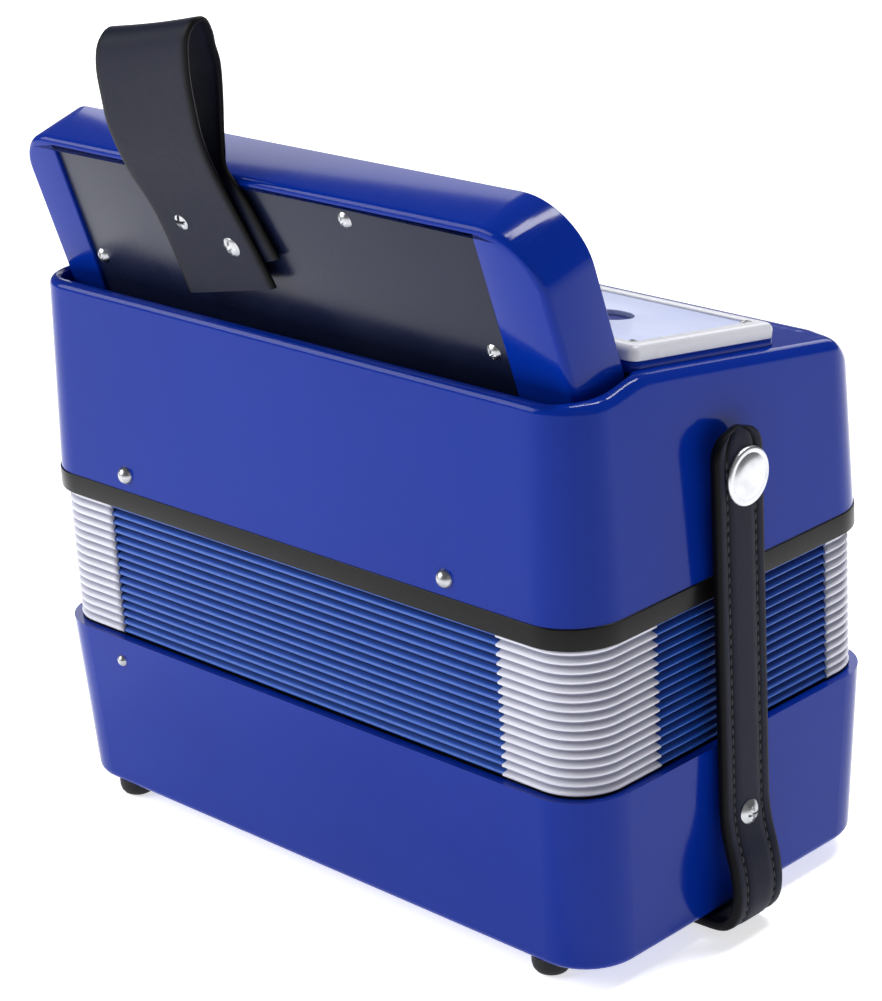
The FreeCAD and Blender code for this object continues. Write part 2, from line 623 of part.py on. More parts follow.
def treble_case():
    plan = rounded_block("treble_plan", HALF_LEN, "<body_depth> / 2", "<treble_h> + 20", TREBLE_Z, "<corner_r>",
                         "-" + TREBLE_DRAFT_DEG)
    lipped = common("treble_block", plan, treble_profile("treble_side", "0", TREBLE_Z + " - 5"))
    hollow_plan = rounded_block("treble_hollow_plan", HALF_LEN + " - <wall>", "<body_depth> / 2 - <wall>",
                                "<treble_h> + 20", TREBLE_Z, "<corner_r> - <wall>", "-" + TREBLE_DRAFT_DEG)
    hollow = common("treble_hollow", hollow_plan, treble_profile("treble_roof", "<wall>", TREBLE_Z + " - 5"))
    slope_y = NEAR_Y + " + <grille_near>"
    sine, cosine = "sin(<top_slope> * 1 deg)", "cos(<top_slope> * 1 deg)"
    boss = block("grille_boss", ("<grille_len> - 1", "<grille_wide> - 1", "8"),
                 ("-(<grille_len> - 1) / 2", "%s + 0.5 * %s - 8.02 * %s" % (slope_y, cosine, sine),
                  "%s - 0.5 * %s - 8.02 * %s" % (grille_z(), sine, cosine)), "-<top_slope>")
    shell = cut("treble_shell", fuse("treble_bossed", lipped, boss), hollow)
    trough = rounded_block("trough", HALF_LEN + " - <trough_side>", "(<trough_far> - <trough_near>) / 2",
                           "40", TREBLE_Z + " + <shelf_z>", "<trough_r>")
    place(trough, ("0", NEAR_Y + " + (<trough_far> + <trough_near>) / 2", "0"))
    action = block("action_space", ("<body_len> - 2 * <action_side>", "<action_far> - <trough_far> + 10", "60"),
                   ("-" + HALF_LEN + " + <action_side>", NEAR_Y + " + <trough_far> - 10", TREBLE_Z + " + <shelf_z>"))
    shelf_box = block("shelf_box", ("<body_len>", "<shelf_wide>", "<shelf_h>"),
                      ("-" + HALF_LEN, NEAR_Y, TREBLE_Z + " + <shelf_z> - <shelf_h>"))
    shelf = common("shelf", plan, shelf_box)
    opened = cut("treble_open", shell, trough, action)
    node("treble_case", fuse("treble_case_solid", opened, shelf))


def grille_z():
    """Height of the step under the grille frame at its near edge."""
    return "(%s + <rise_h> + <boss_h> - (<grille_near> - <rise_end>) * %s)" % (RIM_Z, SLOPE_TAN)


def grille():
    """The frame, plate and cloth lie on the slope: each is made level and then tilted."""
    at = ("0", NEAR_Y + " + <grille_near>", grille_z())

    def tilted(body):
        return place(body, at, "-<top_slope>")

    def flat(name, inset, height, low, radius):
        body = doc.addObject("PartDesign::Body", name)
        sketch = sketch_on(body, name + "_plan", "XY_Plane", low)
        rectangle(sketch, "<grille_len> / 2 - (%s)" % inset, "<grille_wide> / 2 - (%s)" % inset,
                  y="<grille_wide> / 2")
        solid = pad(body, sketch, height)
        return body, round_edges(body, name + "_corners", solid, upright, radius)

    outer, corners = flat("grille_outer", "0", "<grille_h>", "0", "<grille_r>")
    top = size("grille_h")
    round_edges(outer, "grille_edge", corners,
                lambda a, b: abs(a.z - top) < 0.01 and abs(b.z - top) < 0.01, "<grille_edge_r>")
    tilted(outer)
    seat = "<grille_h> - <plate_drop> - <plate_h> - <cloth_h>"
    upper, _ = flat("grille_upper", "<grille_bar>", "<grille_h>", seat, "<grille_inner_r>")
    lower, _ = flat("grille_lower", "<grille_bar> + <grille_rest>", "<grille_h> + 2", "-1", "1")
    tilted(upper)
    tilted(lower)
    node("grille_frame", cut("grille_frame_solid", outer, upper, lower))
    cloth, _ = flat("grille_cloth_sheet", "<grille_bar> + <plate_gap>", "<cloth_h>", seat,
                    "<grille_inner_r>")
    node("grille_cloth", tilted(cloth))
    plate, _ = flat("grille_plate_sheet", "<grille_bar> + <plate_gap>", "<plate_h>", seat + " + <cloth_h>",
                    "<grille_inner_r>")
    tilted(plate)
    holes = []
    for i in range(-2, 3):
        hole = rod("grille_hole_%d" % (i + 2), "<grille_hole_r>", "12", ("0", "0", "0"))
        hole.Placement = Placement(Vector(), Rotation(Vector(1, 0, 0), 10))
        bind(hole, "Placement.Rotation.Angle", "-<top_slope>")
        bind(hole, "Placement.Base.x", "%d * <grille_hole_pitch>" % i)
        bind(hole, "Placement.Base.y", at[1] + " + <grille_wide> / 2 * cos(<top_slope> * 1 deg) - 1")
        bind(hole, "Placement.Base.z", at[2] + " - <grille_wide> / 2 * sin(<top_slope> * 1 deg) - 2")
        holes.append(hole)
    node("grille_plate", cut("grille_plate_solid", plate, *holes))


def treble_inside():
    half_x, half_y = HALF_LEN + " - <wall>", "<body_depth> / 2 - <wall>"
    shrink = " - <board_z> * <treble_draft> / <treble_h> + <board_press>"
    board = rounded_block("treble_board_plan", half_x + shrink, half_y + shrink, "<board_h>", BOARD_Z,
                          "<corner_r> - <wall>", "-" + TREBLE_DRAFT_DEG)
    slots = []
    for i, x in enumerate(key_middles()):
        slots.append(block("pallet_slot_%d" % i, ("<pallet_wide> - 2 * <pallet_lap> + 2", "<pallet_len> - 2 * <pallet_lap>",
                           "<board_h> + 2"), (x + " - <pallet_wide> / 2 + <pallet_lap> - 1",
                           NEAR_Y + " + <arm_end> - <pallet_len> + <pallet_lap>", BOARD_Z + " - 1")))
    node("treble_soundboard", cut("treble_board_slotted", board, *slots))
    outer = rounded_block("treble_frame_outer", half_x + " + <board_press>", half_y + " + <board_press>",
                          "<treble_frame_h>", TREBLE_Z, "<corner_r> - <wall>", "-" + TREBLE_DRAFT_DEG)
    inner = rounded_block("treble_frame_inner", half_x + " - <frame_wall>", half_y + " - <frame_wall>",
                          "<treble_frame_h> + 2", TREBLE_Z + " - 1", "<corner_r> - <frame_wall>")
    node("bellows_frame_treble", ring("treble_frame_ring", outer, inner))
    blocks, reeds = [], []
    low = BOARD_Z + " - <block_h>"
    for i, sign in enumerate(("-", "+")):
        middle = "(<block_y> %s <block_pitch> / 2)" % sign
        blocks.append(block("treble_block_%d" % i, ("<block_len>", "<block_wide>", "<block_h>"),
                            ("-<block_len> / 2", middle + " - <block_wide> / 2", low)))
        reeds += reed_row("treble_reed_%d" % i, 9 - i, "<block_len>", "<block_h>", low, middle, "<block_wide>")
    node("treble_reed_blocks", *blocks)
    node("treble_reed_plates", *reeds)
    half = "(%s - <treble_draft> - <wall> + 1)" % HALF_LEN
    node("key_axle", rod("key_axle_rod", "<axle_r>", "2 * " + half, ("-" + half, AXLE_Y, AXLE_Z), "x"))


# ---- neck
def in_neck_frame(body):
    """Turn a body drawn upright with its player face on the XZ plane onto the leaning neck."""
    return place(body, ("0", NEAR_Y + " + <neck_y>", RIM_Z), "<lean>")


def neck():
    body = doc.addObject("PartDesign::Body", "neck_body")
    sketch = sketch_on(body, "neck_outline", "XZ_Plane")
    half = "<neck_len> / 2"
    outline(sketch, [("-" + half, "-<neck_foot>"), (half, "-<neck_foot>"), (half, "<neck_up>"),
                     ("-" + half, "<neck_up>")])
    solid = pad(body, sketch, "<neck_thick>", reverse=True)
    up = size("neck_up")
    low_end = round_edges(body, "neck_low_corner", solid,
                          lambda a, b: min(a.z, b.z) > up - 1 and min(a.x, b.x) > 0, "<neck_r_low>")
    chin_end = round_edges(body, "neck_chin_corner", low_end,
                           lambda a, b: min(a.z, b.z) > up - 1 and max(a.x, b.x) < 0, "<neck_r_chin>")
    foot = -size("neck_foot")
    round_edges(body, "neck_edge", chin_end,
                lambda a, b: max(abs(a.y), abs(b.y)) < 0.01 and max(a.z, b.z) > foot + 1, "<neck_edge_r>")
    in_neck_frame(body)
    key_x = "<keys_x> - <white_count> * <white_pitch> / 2 - <key_side_gap>"
    key_wide = "<white_count> * <white_pitch> + 2 * <key_side_gap>"
    bed = leaning_block("key_bed", key_x, key_wide, "<neck_board>", "<neck_thick>", "-<neck_foot> - 5",
                        "<neck_up> - <neck_rim>")
    plate_x = "<back_plate_x> - <back_plate_len> / 2"
    recess = leaning_block("plate_recess", plate_x + " - <back_plate_gap>", "<back_plate_len> + 2 * <back_plate_gap>",
                           "-5", "5 + <back_plate_drop> + <back_plate_h>", "-<neck_foot> - 5",
                           "<back_plate_up> + <back_plate_gap>")
    below = block("neck_cut", ("<neck_len> + 20", "200", "60"),
                  ("-<neck_len> / 2 - 10", NEAR_Y + " - 20", TREBLE_Z + " + <shelf_z> - 60"))
    node("neck", cut("neck_solid", body, bed, recess, below))
    plate = leaning_block("back_plate", plate_x, "<back_plate_len>", "<back_plate_drop>", "<back_plate_h>",
                          "-<neck_foot>", "<back_plate_up>")
    below_plate = block("plate_cut", ("<neck_len> + 20", "200", "60"),
                        ("-<neck_len> / 2 - 10", NEAR_Y + " - 20", TREBLE_Z + " + <shelf_z> - 60"))
    node("neck_back_plate", cut("back_plate_solid", plate, below_plate))


def screw(name, frame, at, big=False, flip=False):
    """A domed screw along -Y of a frame, its head on the surface at a point of that frame."""
    kind = "big_screw" if big else "screw"
    head_r, head_h = size(kind + "_r"), size(kind + "_head_h")
    dome_r = (head_r ** 2 + head_h ** 2) / (2 * head_h)
    ball = Part.makeSphere(dome_r, Vector(0, dome_r - head_h, 0))
    keep = Part.makeBox(4 * head_r, head_h, 4 * head_r, Vector(-2 * head_r, -head_h, -2 * head_r))
    shank = Part.makeCylinder(size(kind + "_shank_r"), size(kind + "_len"), Vector(0, -head_h / 2, 0), Vector(0, 1, 0))
    slots = [Part.makeBox(head_r * 1.1, head_h, head_r * 0.28, Vector(-head_r * 0.55, -head_h * 1.6, -head_r * 0.14)),
             Part.makeBox(head_r * 0.28, head_h, head_r * 1.1, Vector(-head_r * 0.14, -head_h * 1.6, -head_r * 0.55))]
    made = doc.addObject("Part::Feature", name)
    made.Shape = ball.common(keep).fuse(shank).cut(slots[0].fuse(slots[1])).removeSplitter()
    turn = Placement(Vector(), Rotation(Vector(0, 0, 1), 180)) if flip else Placement()
    made.Placement = frame.multiply(Placement(at, Rotation())).multiply(turn)
    return made


def fastenings():
    lean_frame = Placement(Vector(0, -size("body_depth") / 2 + size("neck_y"), level("rim")),
                           Rotation(Vector(1, 0, 0), size("lean")))
    plate_y = size("back_plate_drop")
    half = size("back_plate_len") / 2
    high = size("back_plate_up") - 4.5
    spots = [(-half + 3.5, 8.5), (half - 5.5, 8.5), (half - 51, high), (-half + 51, high)]
    small = [screw("back_screw_%d" % i, lean_frame, Vector(size("back_plate_x") + x, plate_y, up))
             for i, (x, up) in enumerate(spots)]
    slope_frame = Placement(Vector(0, -size("body_depth") / 2 + size("grille_near"), level("grille")),
                            Rotation(Vector(1, 0, 0), -size("top_slope")))
    lay = Placement(Vector(), Rotation(Vector(1, 0, 0), -90))
    inset = size("grille_bar") + 0.5
    for i, (sx, sy) in enumerate(((-1, 0), (1, 0), (-1, 1), (1, 1))):
        x = sx * (size("grille_len") / 2 - inset)
        y = inset + sy * (size("grille_wide") - 2 * inset)
        spot = slope_frame.multiply(Placement(Vector(x, y, size("grille_h") - 1.0), Rotation())).multiply(lay)
        small.append(screw("grille_screw_%d" % i, spot, Vector()))
    node("panel_screws", *small)
    head = plate_y - 2 * size("thumb_thick") - 0.2
    big = []
    for i in (0, 1):
        at = Vector(size("thumb_screw_x") + i * size("thumb_screw_step"), head,
                    size("thumb_screw_up") - i * size("thumb_screw_drop"))
        big.append(screw("thumb_screw_%d" % i, lean_frame, at, big=True))
    node("thumb_strap_screws", *big)
    strap = doc.addObject("Part::Feature", "thumb_strap_leather")
    face = band([(back, 0, up) for up, back in THUMB_LINE], size("thumb_thick"))
    face.rotate(Vector(), Vector(0, 0, 1), 90)
    face.translate(Vector(size("thumb_x"), 0, 0))
    strap.Shape = face.extrude(Vector(size("thumb_wide"), 0, size("thumb_skew")))
    strap.Placement = lean_frame
    node("thumb_strap", strap)


def level(name):
    """Height of a shared level, in millimetres."""
    rim = sum(size(s) for s in ("foot_h", "bass_h", "bellows_h", "trim_h", "treble_h"))
    if name == "rim":
        return rim
    fall = (size("grille_near") - size("rise_end")) * math.tan(math.radians(size("top_slope")))
    return rim + size("rise_h") + size("boss_h") - fall


# ---- keys
def white_middle(i):
    return "<keys_x> + (%d - (<white_count> - 1) / 2) * <white_pitch>" % i


def key_middles():
    """X of every key's arm, in the order of the keyboard, as expressions."""
    middles = []
    for i in range(int(size("white_count"))):
        middles.append(white_middle(i))
        if i in BLACK_AFTER:
            middles.append(white_middle(i) + " + <white_pitch> / 2")
    return middles


def key_arm(name, x):
    """The arm behind a key: hub on the axle, bar over the soundboard and pallet under its end."""
    bar = block(name + "_bar", ("<arm_wide>", "<arm_end> - <arm_start>", "<arm_h>"),
                (x + " - <arm_wide> / 2", NEAR_Y + " + <arm_start>", AXLE_Z + " - <arm_h> / 2"))
    hub = rod(name + "_hub", "<hub_r>", "<arm_wide>", (x + " - <arm_wide> / 2", AXLE_Y, AXLE_Z), "x")
    low = BOARD_Z + " + <board_h> + <rest_gap>"
    pallet = block(name + "_pallet", ("<pallet_wide>", "<pallet_len>", "%s - (%s)" % (AXLE_Z, low)),
                   (x + " - <pallet_wide> / 2", NEAR_Y + " + <arm_end> - <pallet_len>", low))
    bore = rod(name + "_bore", "<axle_r> + <running_gap>", "<arm_wide> + 2", (x + " - <arm_wide> / 2 - 1", AXLE_Y, AXLE_Z),
               "x")
    return [bar, hub, pallet], bore


def keys():
    whites = int(size("white_count"))
    number = 0
    for i in range(whites):
        number += 1
        name = "key_%02d_white" % number
        x = white_middle(i)
        beside = "(<black_wide> / 2 + <black_gap>)"
        left = beside if i - 1 in BLACK_AFTER else "(<key_gap> / 2)"
        right = beside if i in BLACK_AFTER and i < whites - 1 else "(<key_gap> / 2)"
        head = leaning_block(name + "_head", x + " - <white_pitch> / 2 + <key_gap> / 2", "<white_pitch> - <key_gap>",
                             KEY_BACK, "<key_thick>", "<black_up> + <black_gap>",
                             "<neck_up> - <neck_rim> - <key_tip_gap>")
        tail = leaning_block(name + "_tail", x + " - <white_pitch> / 2 + " + left,
                             "<white_pitch> - %s - %s" % (left, right), KEY_BACK, "<key_thick>", "-<key_foot>",
                             "<black_up> + <black_gap> + 2")
        pieces, bore = key_arm(name, x)
        node(name, cut(name + "_solid", fuse(name + "_whole", head, tail, *pieces), bore))
        if i not in BLACK_AFTER:
            continue
        number += 1
        name = "key_%02d_black" % number
        x = white_middle(i) + " + <white_pitch> / 2"
        board = leaning_block(name + "_board", x + " - <black_wide> / 2", "<black_wide>", KEY_BACK, "<key_thick>",
                              "-<key_foot>", "<black_up>")
        top = leaning_block(name + "_top", x + " - <black_wide> / 2 + 0.5", "<black_wide> - 1", KEY_BACK + " + 1",
                            "<key_thick> + <black_rise> - 1", "<black_low>", "<black_up>")
        pieces, bore = key_arm(name, x)
        node(name, cut(name + "_solid", fuse(name + "_whole", board, top, *pieces), bore))


# ---- straps
def end_straps():
    """The bellows straps at both ends, and the hand strap that joins them under the bass case."""
    half = size("body_len") / 2
    right = [(half + out, 0, up) for out, up in HAND_LINE]
    left = [(-x, 0, z) for x, _y, z in reversed(right)]
    hand = strip("hand_strap_leather", right + left, size("strap_thick"), size("strap_wide"))
    hand.Placement = Placement(Vector(0, size("strap_y"), 0), Rotation())
    node("hand_strap", hand)
    screws = []
    for name, sign in (("right", ""), ("left", "-")):
        low = "<strap_hinge_z>"
        inner = HALF_LEN + " + <strap_off>"
        x = inner if sign == "" else "-(" + inner + " + <strap_thick>)"
        bar = block("strap_bar_" + name, ("<strap_thick>", "<strap_wide>", "<strap_top> - (%s)" % low),
                    (x, "<strap_y> - <strap_wide> / 2", low))
        doc.recompute()
        tip = doc.addObject("Part::Fillet", "strap_tip_" + name)
        tip.Base = bar
        top, radius = size("strap_top"), size("strap_wide") / 2 - 0.2
        tip.Edges = [(int(e[4:]), radius, radius) for e in
                     edges_where(bar.Shape, lambda a, b: min(a.z, b.z) > top - 1 and abs(a.x - b.x) > 1)]
        middle = HALF_LEN + " + <strap_off> + <strap_thick> / 2"
        knuckle = rod("strap_knuckle_" + name, "<strap_thick> / 2", "<strap_wide>",
                      (middle if sign == "" else "-(" + middle + ")", "<strap_y> - <strap_wide> / 2",
                       "<strap_hinge_z>"), "y")
        node("bellows_strap_" + name, fuse("strap_" + name + "_solid", tip, knuckle))
        face = HALF_LEN + " + <strap_off> + <strap_thick>"
        cap_x = face if sign == "" else "-(" + face + " + <snap_h>)"
        cap = rod("snap_disc_" + name, "<snap_r>", "<snap_h>", (cap_x, "<snap_y>", "<snap_z>"), "x")
        node("snap_cap_" + name, cap)
        frame = Placement(Vector(0, size("strap_y"), size("strap_screw_z")),
                          Rotation(Vector(0, 0, 1), 90 if sign == "" else -90))
        reach = half + HAND_LINE[1][0] + size("strap_thick") / 2
        screws.append(screw("strap_screw_" + name, frame, Vector(0, -reach, 0), big=True))
    node("strap_screws", *screws)
    studs = []
    for i, sign in enumerate(("", "-")):
        reach = "<strap_off> - <stud_gap> + 4"
        start = HALF_LEN + " - 4"
        x = start if sign == "" else "-(" + start + " + " + reach + ")"
        studs.append(rod("stud_%d" % i, "<stud_r>", reach, (x, "<snap_y>", "<snap_z>"), "x"))
    node("strap_studs", *studs)


bass_case()
bass_action()
bass_inside()
feet()
bellows()
pins()
treble_case()
grille()
treble_inside()
neck()
fastenings()
keys()
end_straps()
doc.recompute()

bad = [o.Name for o in doc.Objects if "Invalid" in o.State or "Error" in o.State]
for piece in NODES:
    if piece.Shape.isNull() or not piece.Shape.isValid() or not piece.Shape.Solids:
        bad.append(piece.Label)
if bad:
    raise SystemExit("these did not build: %s" % ", ".join(bad))
os.makedirs("parts", exist_ok=True)
for piece in NODES:
    piece.Shape.exportStep("parts/%s.step" % piece.Label)
    box = piece.Shape.BoundBox
    print("%-22s %2d solid(s) %9.0f mm3  x %.1f..%.1f y %.1f..%.1f z %.1f..%.1f" % (
        piece.Label, len(piece.Shape.Solids), piece.Shape.Volume, box.XMin, box.XMax, box.YMin, box.YMax,
        box.ZMin, box.ZMax))
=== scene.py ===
"""A small piano accordion standing on its bass end: its finishes, leather and folded bellows.

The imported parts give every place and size. Lengths are written in millimetres and turned into
metres when a mesh is made. X runs along the keyboard, the player sits on the -Y side and Z is up.
"""

from __future__ import annotations

import json
import logging
import math
from dataclasses import dataclass, field
from enum import Enum
from typing import Any, Callable, Sequence

import bmesh
import bpy
from bpy.types import Material, Object
from mathutils import Matrix, Vector
from mathutils.geometry import delaunay_2d_cdt

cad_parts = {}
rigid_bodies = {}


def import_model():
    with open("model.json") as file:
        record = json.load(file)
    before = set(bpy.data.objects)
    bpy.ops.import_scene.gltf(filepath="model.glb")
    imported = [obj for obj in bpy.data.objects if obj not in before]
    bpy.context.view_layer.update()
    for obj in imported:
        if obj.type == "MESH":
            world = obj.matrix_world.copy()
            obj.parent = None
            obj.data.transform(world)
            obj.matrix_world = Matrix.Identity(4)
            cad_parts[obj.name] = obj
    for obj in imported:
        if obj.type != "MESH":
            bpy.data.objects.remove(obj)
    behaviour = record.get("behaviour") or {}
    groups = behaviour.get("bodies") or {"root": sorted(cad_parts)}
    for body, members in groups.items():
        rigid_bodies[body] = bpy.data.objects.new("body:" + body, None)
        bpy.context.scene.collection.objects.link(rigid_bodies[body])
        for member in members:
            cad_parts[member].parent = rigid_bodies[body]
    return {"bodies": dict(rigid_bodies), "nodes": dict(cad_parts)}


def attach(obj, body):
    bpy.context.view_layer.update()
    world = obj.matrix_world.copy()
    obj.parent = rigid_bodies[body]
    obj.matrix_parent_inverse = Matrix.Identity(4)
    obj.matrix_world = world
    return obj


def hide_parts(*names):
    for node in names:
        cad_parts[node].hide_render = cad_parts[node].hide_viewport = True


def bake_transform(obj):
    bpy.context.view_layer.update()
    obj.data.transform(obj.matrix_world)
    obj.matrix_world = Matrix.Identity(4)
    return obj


LOG = logging.getLogger("accordion")
MM = 0.001
TINY = 1e-6
FINE_STEPS = 24  # between two points of a line before it is divided evenly
STRAP_MERGE = 0.0005  # millimetres
Point = tuple[float, float, float]
Face = tuple[int, ...]
Colour = tuple[float, float, float, float]
Rim = tuple[float, float, float, float]  # X, Y and the two parts of the outward direction


# ---------------------------------------------------------------- shader maths
class Field:
    """A number that varies over a surface: one output of a shader node."""

    def __init__(self, painter: "Painter", socket: Any) -> None:
        """Keep the painter that owns the node and the socket itself."""
        self.painter = painter
        self.socket = socket

    def __add__(self, other: Any) -> "Field":
        """This plus another value."""
        return self.painter.math("ADD", self, other)

    __radd__ = __add__

    def __sub__(self, other: Any) -> "Field":
        """This less another value."""
        return self.painter.math("SUBTRACT", self, other)

    def __rsub__(self, other: Any) -> "Field":
        """Another value less this."""
        return self.painter.math("SUBTRACT", other, self)

    def __mul__(self, other: Any) -> "Field":
        """This times another value."""
        return self.painter.math("MULTIPLY", self, other)

    __rmul__ = __mul__

    def clamped(self, low: float, high: float) -> "Field":
        """This spread from low to high onto zero to one.

        Args:
            low: The value that becomes zero.
            high: The value that becomes one.

        Returns:
            The spread value, held between zero and one.
        """
        return self.painter.span(self, low, high)


class Painter:
    """Makes one material out of nodes."""

    def __init__(self, name: str) -> None:
        """Start an empty material of this name."""
        self.material = bpy.data.materials.new(name)
        self.material.use_nodes = True
        self.tree = self.material.node_tree
        self.tree.nodes.clear()
        output = self.tree.nodes.new("ShaderNodeOutputMaterial")
        self.shader = self.tree.nodes.new("ShaderNodeBsdfPrincipled")
        self.tree.links.new(self.shader.outputs[0], output.inputs["Surface"])
        self._coordinates: Any = None

    def make(self, kind: str, settings: dict[str, Any] | None = None,
             inputs: dict[Any, Any] | None = None) -> Any:
        """Add a node.

        Args:
            kind: The node's type, without its ShaderNode prefix.
            settings: Its properties, which are set first.
            inputs: Values, fields or sockets for its inputs, by name or number.

        Returns:
            The new node.
        """
        made = self.tree.nodes.new("ShaderNode" + kind)
        for key, value in (settings or {}).items():
            setattr(made, key, value)
        for key, value in (inputs or {}).items():
            self.feed(made.inputs[key], value)
        return made

    def feed(self, socket: Any, value: Any) -> None:
        """Link a field or socket to an input, or set its value."""
        if isinstance(value, Field):
            value = value.socket
        if isinstance(value, bpy.types.NodeSocket):
            self.tree.links.new(value, socket)
        else:
            socket.default_value = value

    def math(self, operation: str, *values: Any) -> Field:
        """A Math node on fields and numbers."""
        made = self.make("Math", {"operation": operation}, dict(enumerate(values)))
        return Field(self, made.outputs[0])

    def span(self, value: Field, low: float, high: float) -> Field:
        """A value from low to high, spread onto zero to one and held there."""
        made = self.make("MapRange", {"clamp": True},
                         {"Value": value, "From Min": low, "From Max": high})
        return Field(self, made.outputs["Result"])

    def place(self, scale: Point = (1.0, 1.0, 1.0)) -> Any:
        """Object coordinates, stretched along each axis.

        Args:
            scale: How many times closer the pattern is along each axis.

        Returns:
            The vector socket.
        """
        if self._coordinates is None:
            self._coordinates = self.make("TexCoord").outputs["Object"]
        made = self.make("Mapping", {}, {"Vector": self._coordinates, "Scale": scale})
        return made.outputs["Vector"]

    def noise(self, scale: float, detail: float, stretch: Point = (1.0, 1.0, 1.0),
              rough: float = 0.5) -> Field:
        """Fractal noise, in cycles per metre."""
        made = self.make("TexNoise", {}, {"Vector": self.place(stretch), "Scale": scale,
                                          "Detail": detail, "Roughness": rough})
        return Field(self, made.outputs["Fac"])

    def cells(self, scale: float, stretch: Point = (1.0, 1.0, 1.0)) -> Field:
        """Distance in a soft pattern of cells, in cells per metre."""
        made = self.make("TexVoronoi", {"feature": "SMOOTH_F1"},
                         {"Vector": self.place(stretch), "Scale": scale})
        return Field(self, made.outputs["Distance"])

    def attribute(self, name: str) -> Field:
        """A number stored on the mesh."""
        return Field(self, self.make("Attribute", {"attribute_name": name}).outputs["Fac"])

    def blend(self, share: Any, first: Any, second: Any) -> Any:
        """Mix two colours.

        Args:
            share: How much of the second, a field or a number.
            first: A colour or a colour socket.
            second: A colour or a colour socket.

        Returns:
            The mixed colour's socket.
        """
        # A Mix node has sockets for each kind of data: the colours are inputs 6 and 7, output 2.
        made = self.make("Mix", {"data_type": "RGBA", "clamp_factor": True},
                         {0: share, 6: first, 7: second})
        return made.outputs[2]

    def bump(self, height: Field, depth_mm: float) -> Any:
        """A bump of a depth in millimetres."""
        made = self.make("Bump", {}, {"Height": height, "Distance": depth_mm * MM, "Strength": 1.0})
        return made.outputs["Normal"]

    def finish(self, **sockets: Any) -> Material:
        """Set the shader's inputs, with underscores for spaces, and return the material."""
        for key, value in sockets.items():
            self.feed(self.shader.inputs[key.replace("_", " ")], value)
        return self.material


def rgb(red: float, green: float, blue: float) -> Colour:
    """A colour from screen values of 0 to 255, as linear light."""
    def linear(value: float) -> float:
        """One channel as linear light."""
        share = value / 255
        return share / 12.92 if share <= 0.04045 else ((share + 0.055) / 1.055) ** 2.4
    return (linear(red), linear(green), linear(blue), 1.0)


def paler(colour: Colour, times: float, more: float = 0.0) -> Colour:
    """A colour made lighter or darker, held at white."""
    return (*(min(1.0, c * times + more) for c in colour[:3]), 1.0)


# ---------------------------------------------------------------- finishes
@dataclass(frozen=True)
class Celluloid:
    """Glossy sheet plastic, polished by hand, with a faint depth to its colour."""

    name: str
    colour: Colour
    deep: Colour
    roughness: float = 0.10
    orange_peel: float = 0.008
    gloss: float = 0.12

    def material(self) -> Material:
        """The finish as a material."""
        p = Painter(self.name)
        cloud = p.noise(9.0, 3.0).clamped(0.35, 0.7)
        grain = p.noise(160.0, 3.0).clamped(0.3, 0.75)
        swirl = p.noise(900.0, 2.0, (1.0, 0.12, 0.2)).clamped(0.5, 0.8)
        colour = p.blend(cloud * 0.45 + grain * 0.10, self.colour, self.deep)
        wave = p.noise(55.0, 1.0)
        return p.finish(Base_Color=colour, Roughness=self.roughness + cloud * 0.04 + swirl * 0.06,
                        Normal=p.bump(wave + swirl * 0.02, self.orange_peel), Coat_Weight=0.04,
                        Coat_Roughness=0.03, Specular_IOR_Level=self.gloss)


@dataclass(frozen=True)
class Pearl:
    """Pearl celluloid: pale clouds that catch the light."""

    name: str = "pearl_plate"

    def material(self) -> Material:
        """The finish as a material."""
        p = Painter(self.name)
        warp = p.noise(26.0, 5.0, (1.0, 1.6, 1.0), 0.62)
        cloud = p.cells(60.0, (1.0, 1.4, 1.0)) * 0.8 + warp
        colour = p.blend(cloud.clamped(0.55, 1.15), rgb(182, 191, 226), rgb(173, 184, 224))
        return p.finish(Base_Color=colour, Roughness=0.38 + warp * 0.1, Coat_Weight=0.12,
                        Coat_Roughness=0.25, Metallic=warp.clamped(0.4, 0.7) * 0.08)


@dataclass(frozen=True)
class Plastic:
    """Plain moulded plastic with a fine grain."""

    name: str
    colour: Colour
    roughness: float = 0.3
    grain_mm: float = 0.01
    grain_scale: float = 900.0
    wear: float = 0.12
    gloss: float = 0.3

    def material(self) -> Material:
        """The finish as a material."""
        p = Painter(self.name)
        grain = p.noise(self.grain_scale, 3.0)
        smudge = p.noise(30.0, 4.0).clamped(0.4, 0.75)
        worn = paler(self.colour, 1.25, 0.006)
        colour = p.blend(smudge * self.wear * 2.0 + grain * self.wear, self.colour, worn)
        return p.finish(Base_Color=colour, Roughness=self.roughness + smudge * 0.10,
                        Normal=p.bump(grain, self.grain_mm), Specular_IOR_Level=self.gloss)


@dataclass(frozen=True)
class Metal:
    """Plated or bare metal with fine turning or rubbing marks."""

    name: str
    colour: Colour
    roughness: float
    marks_mm: float = 0.004

    def material(self) -> Material:
        """The finish as a material."""
        p = Painter(self.name)
        marks = p.noise(1600.0, 2.0, (1.0, 1.0, 0.15))
        stain = p.noise(220.0, 4.0).clamped(0.45, 0.75)
        return p.finish(Base_Color=p.blend(stain * 0.5, self.colour, paler(self.colour, 0.72)),
                        Metallic=1.0, Roughness=self.roughness + marks * 0.08 + stain * 0.08,
                        Normal=p.bump(marks, self.marks_mm))


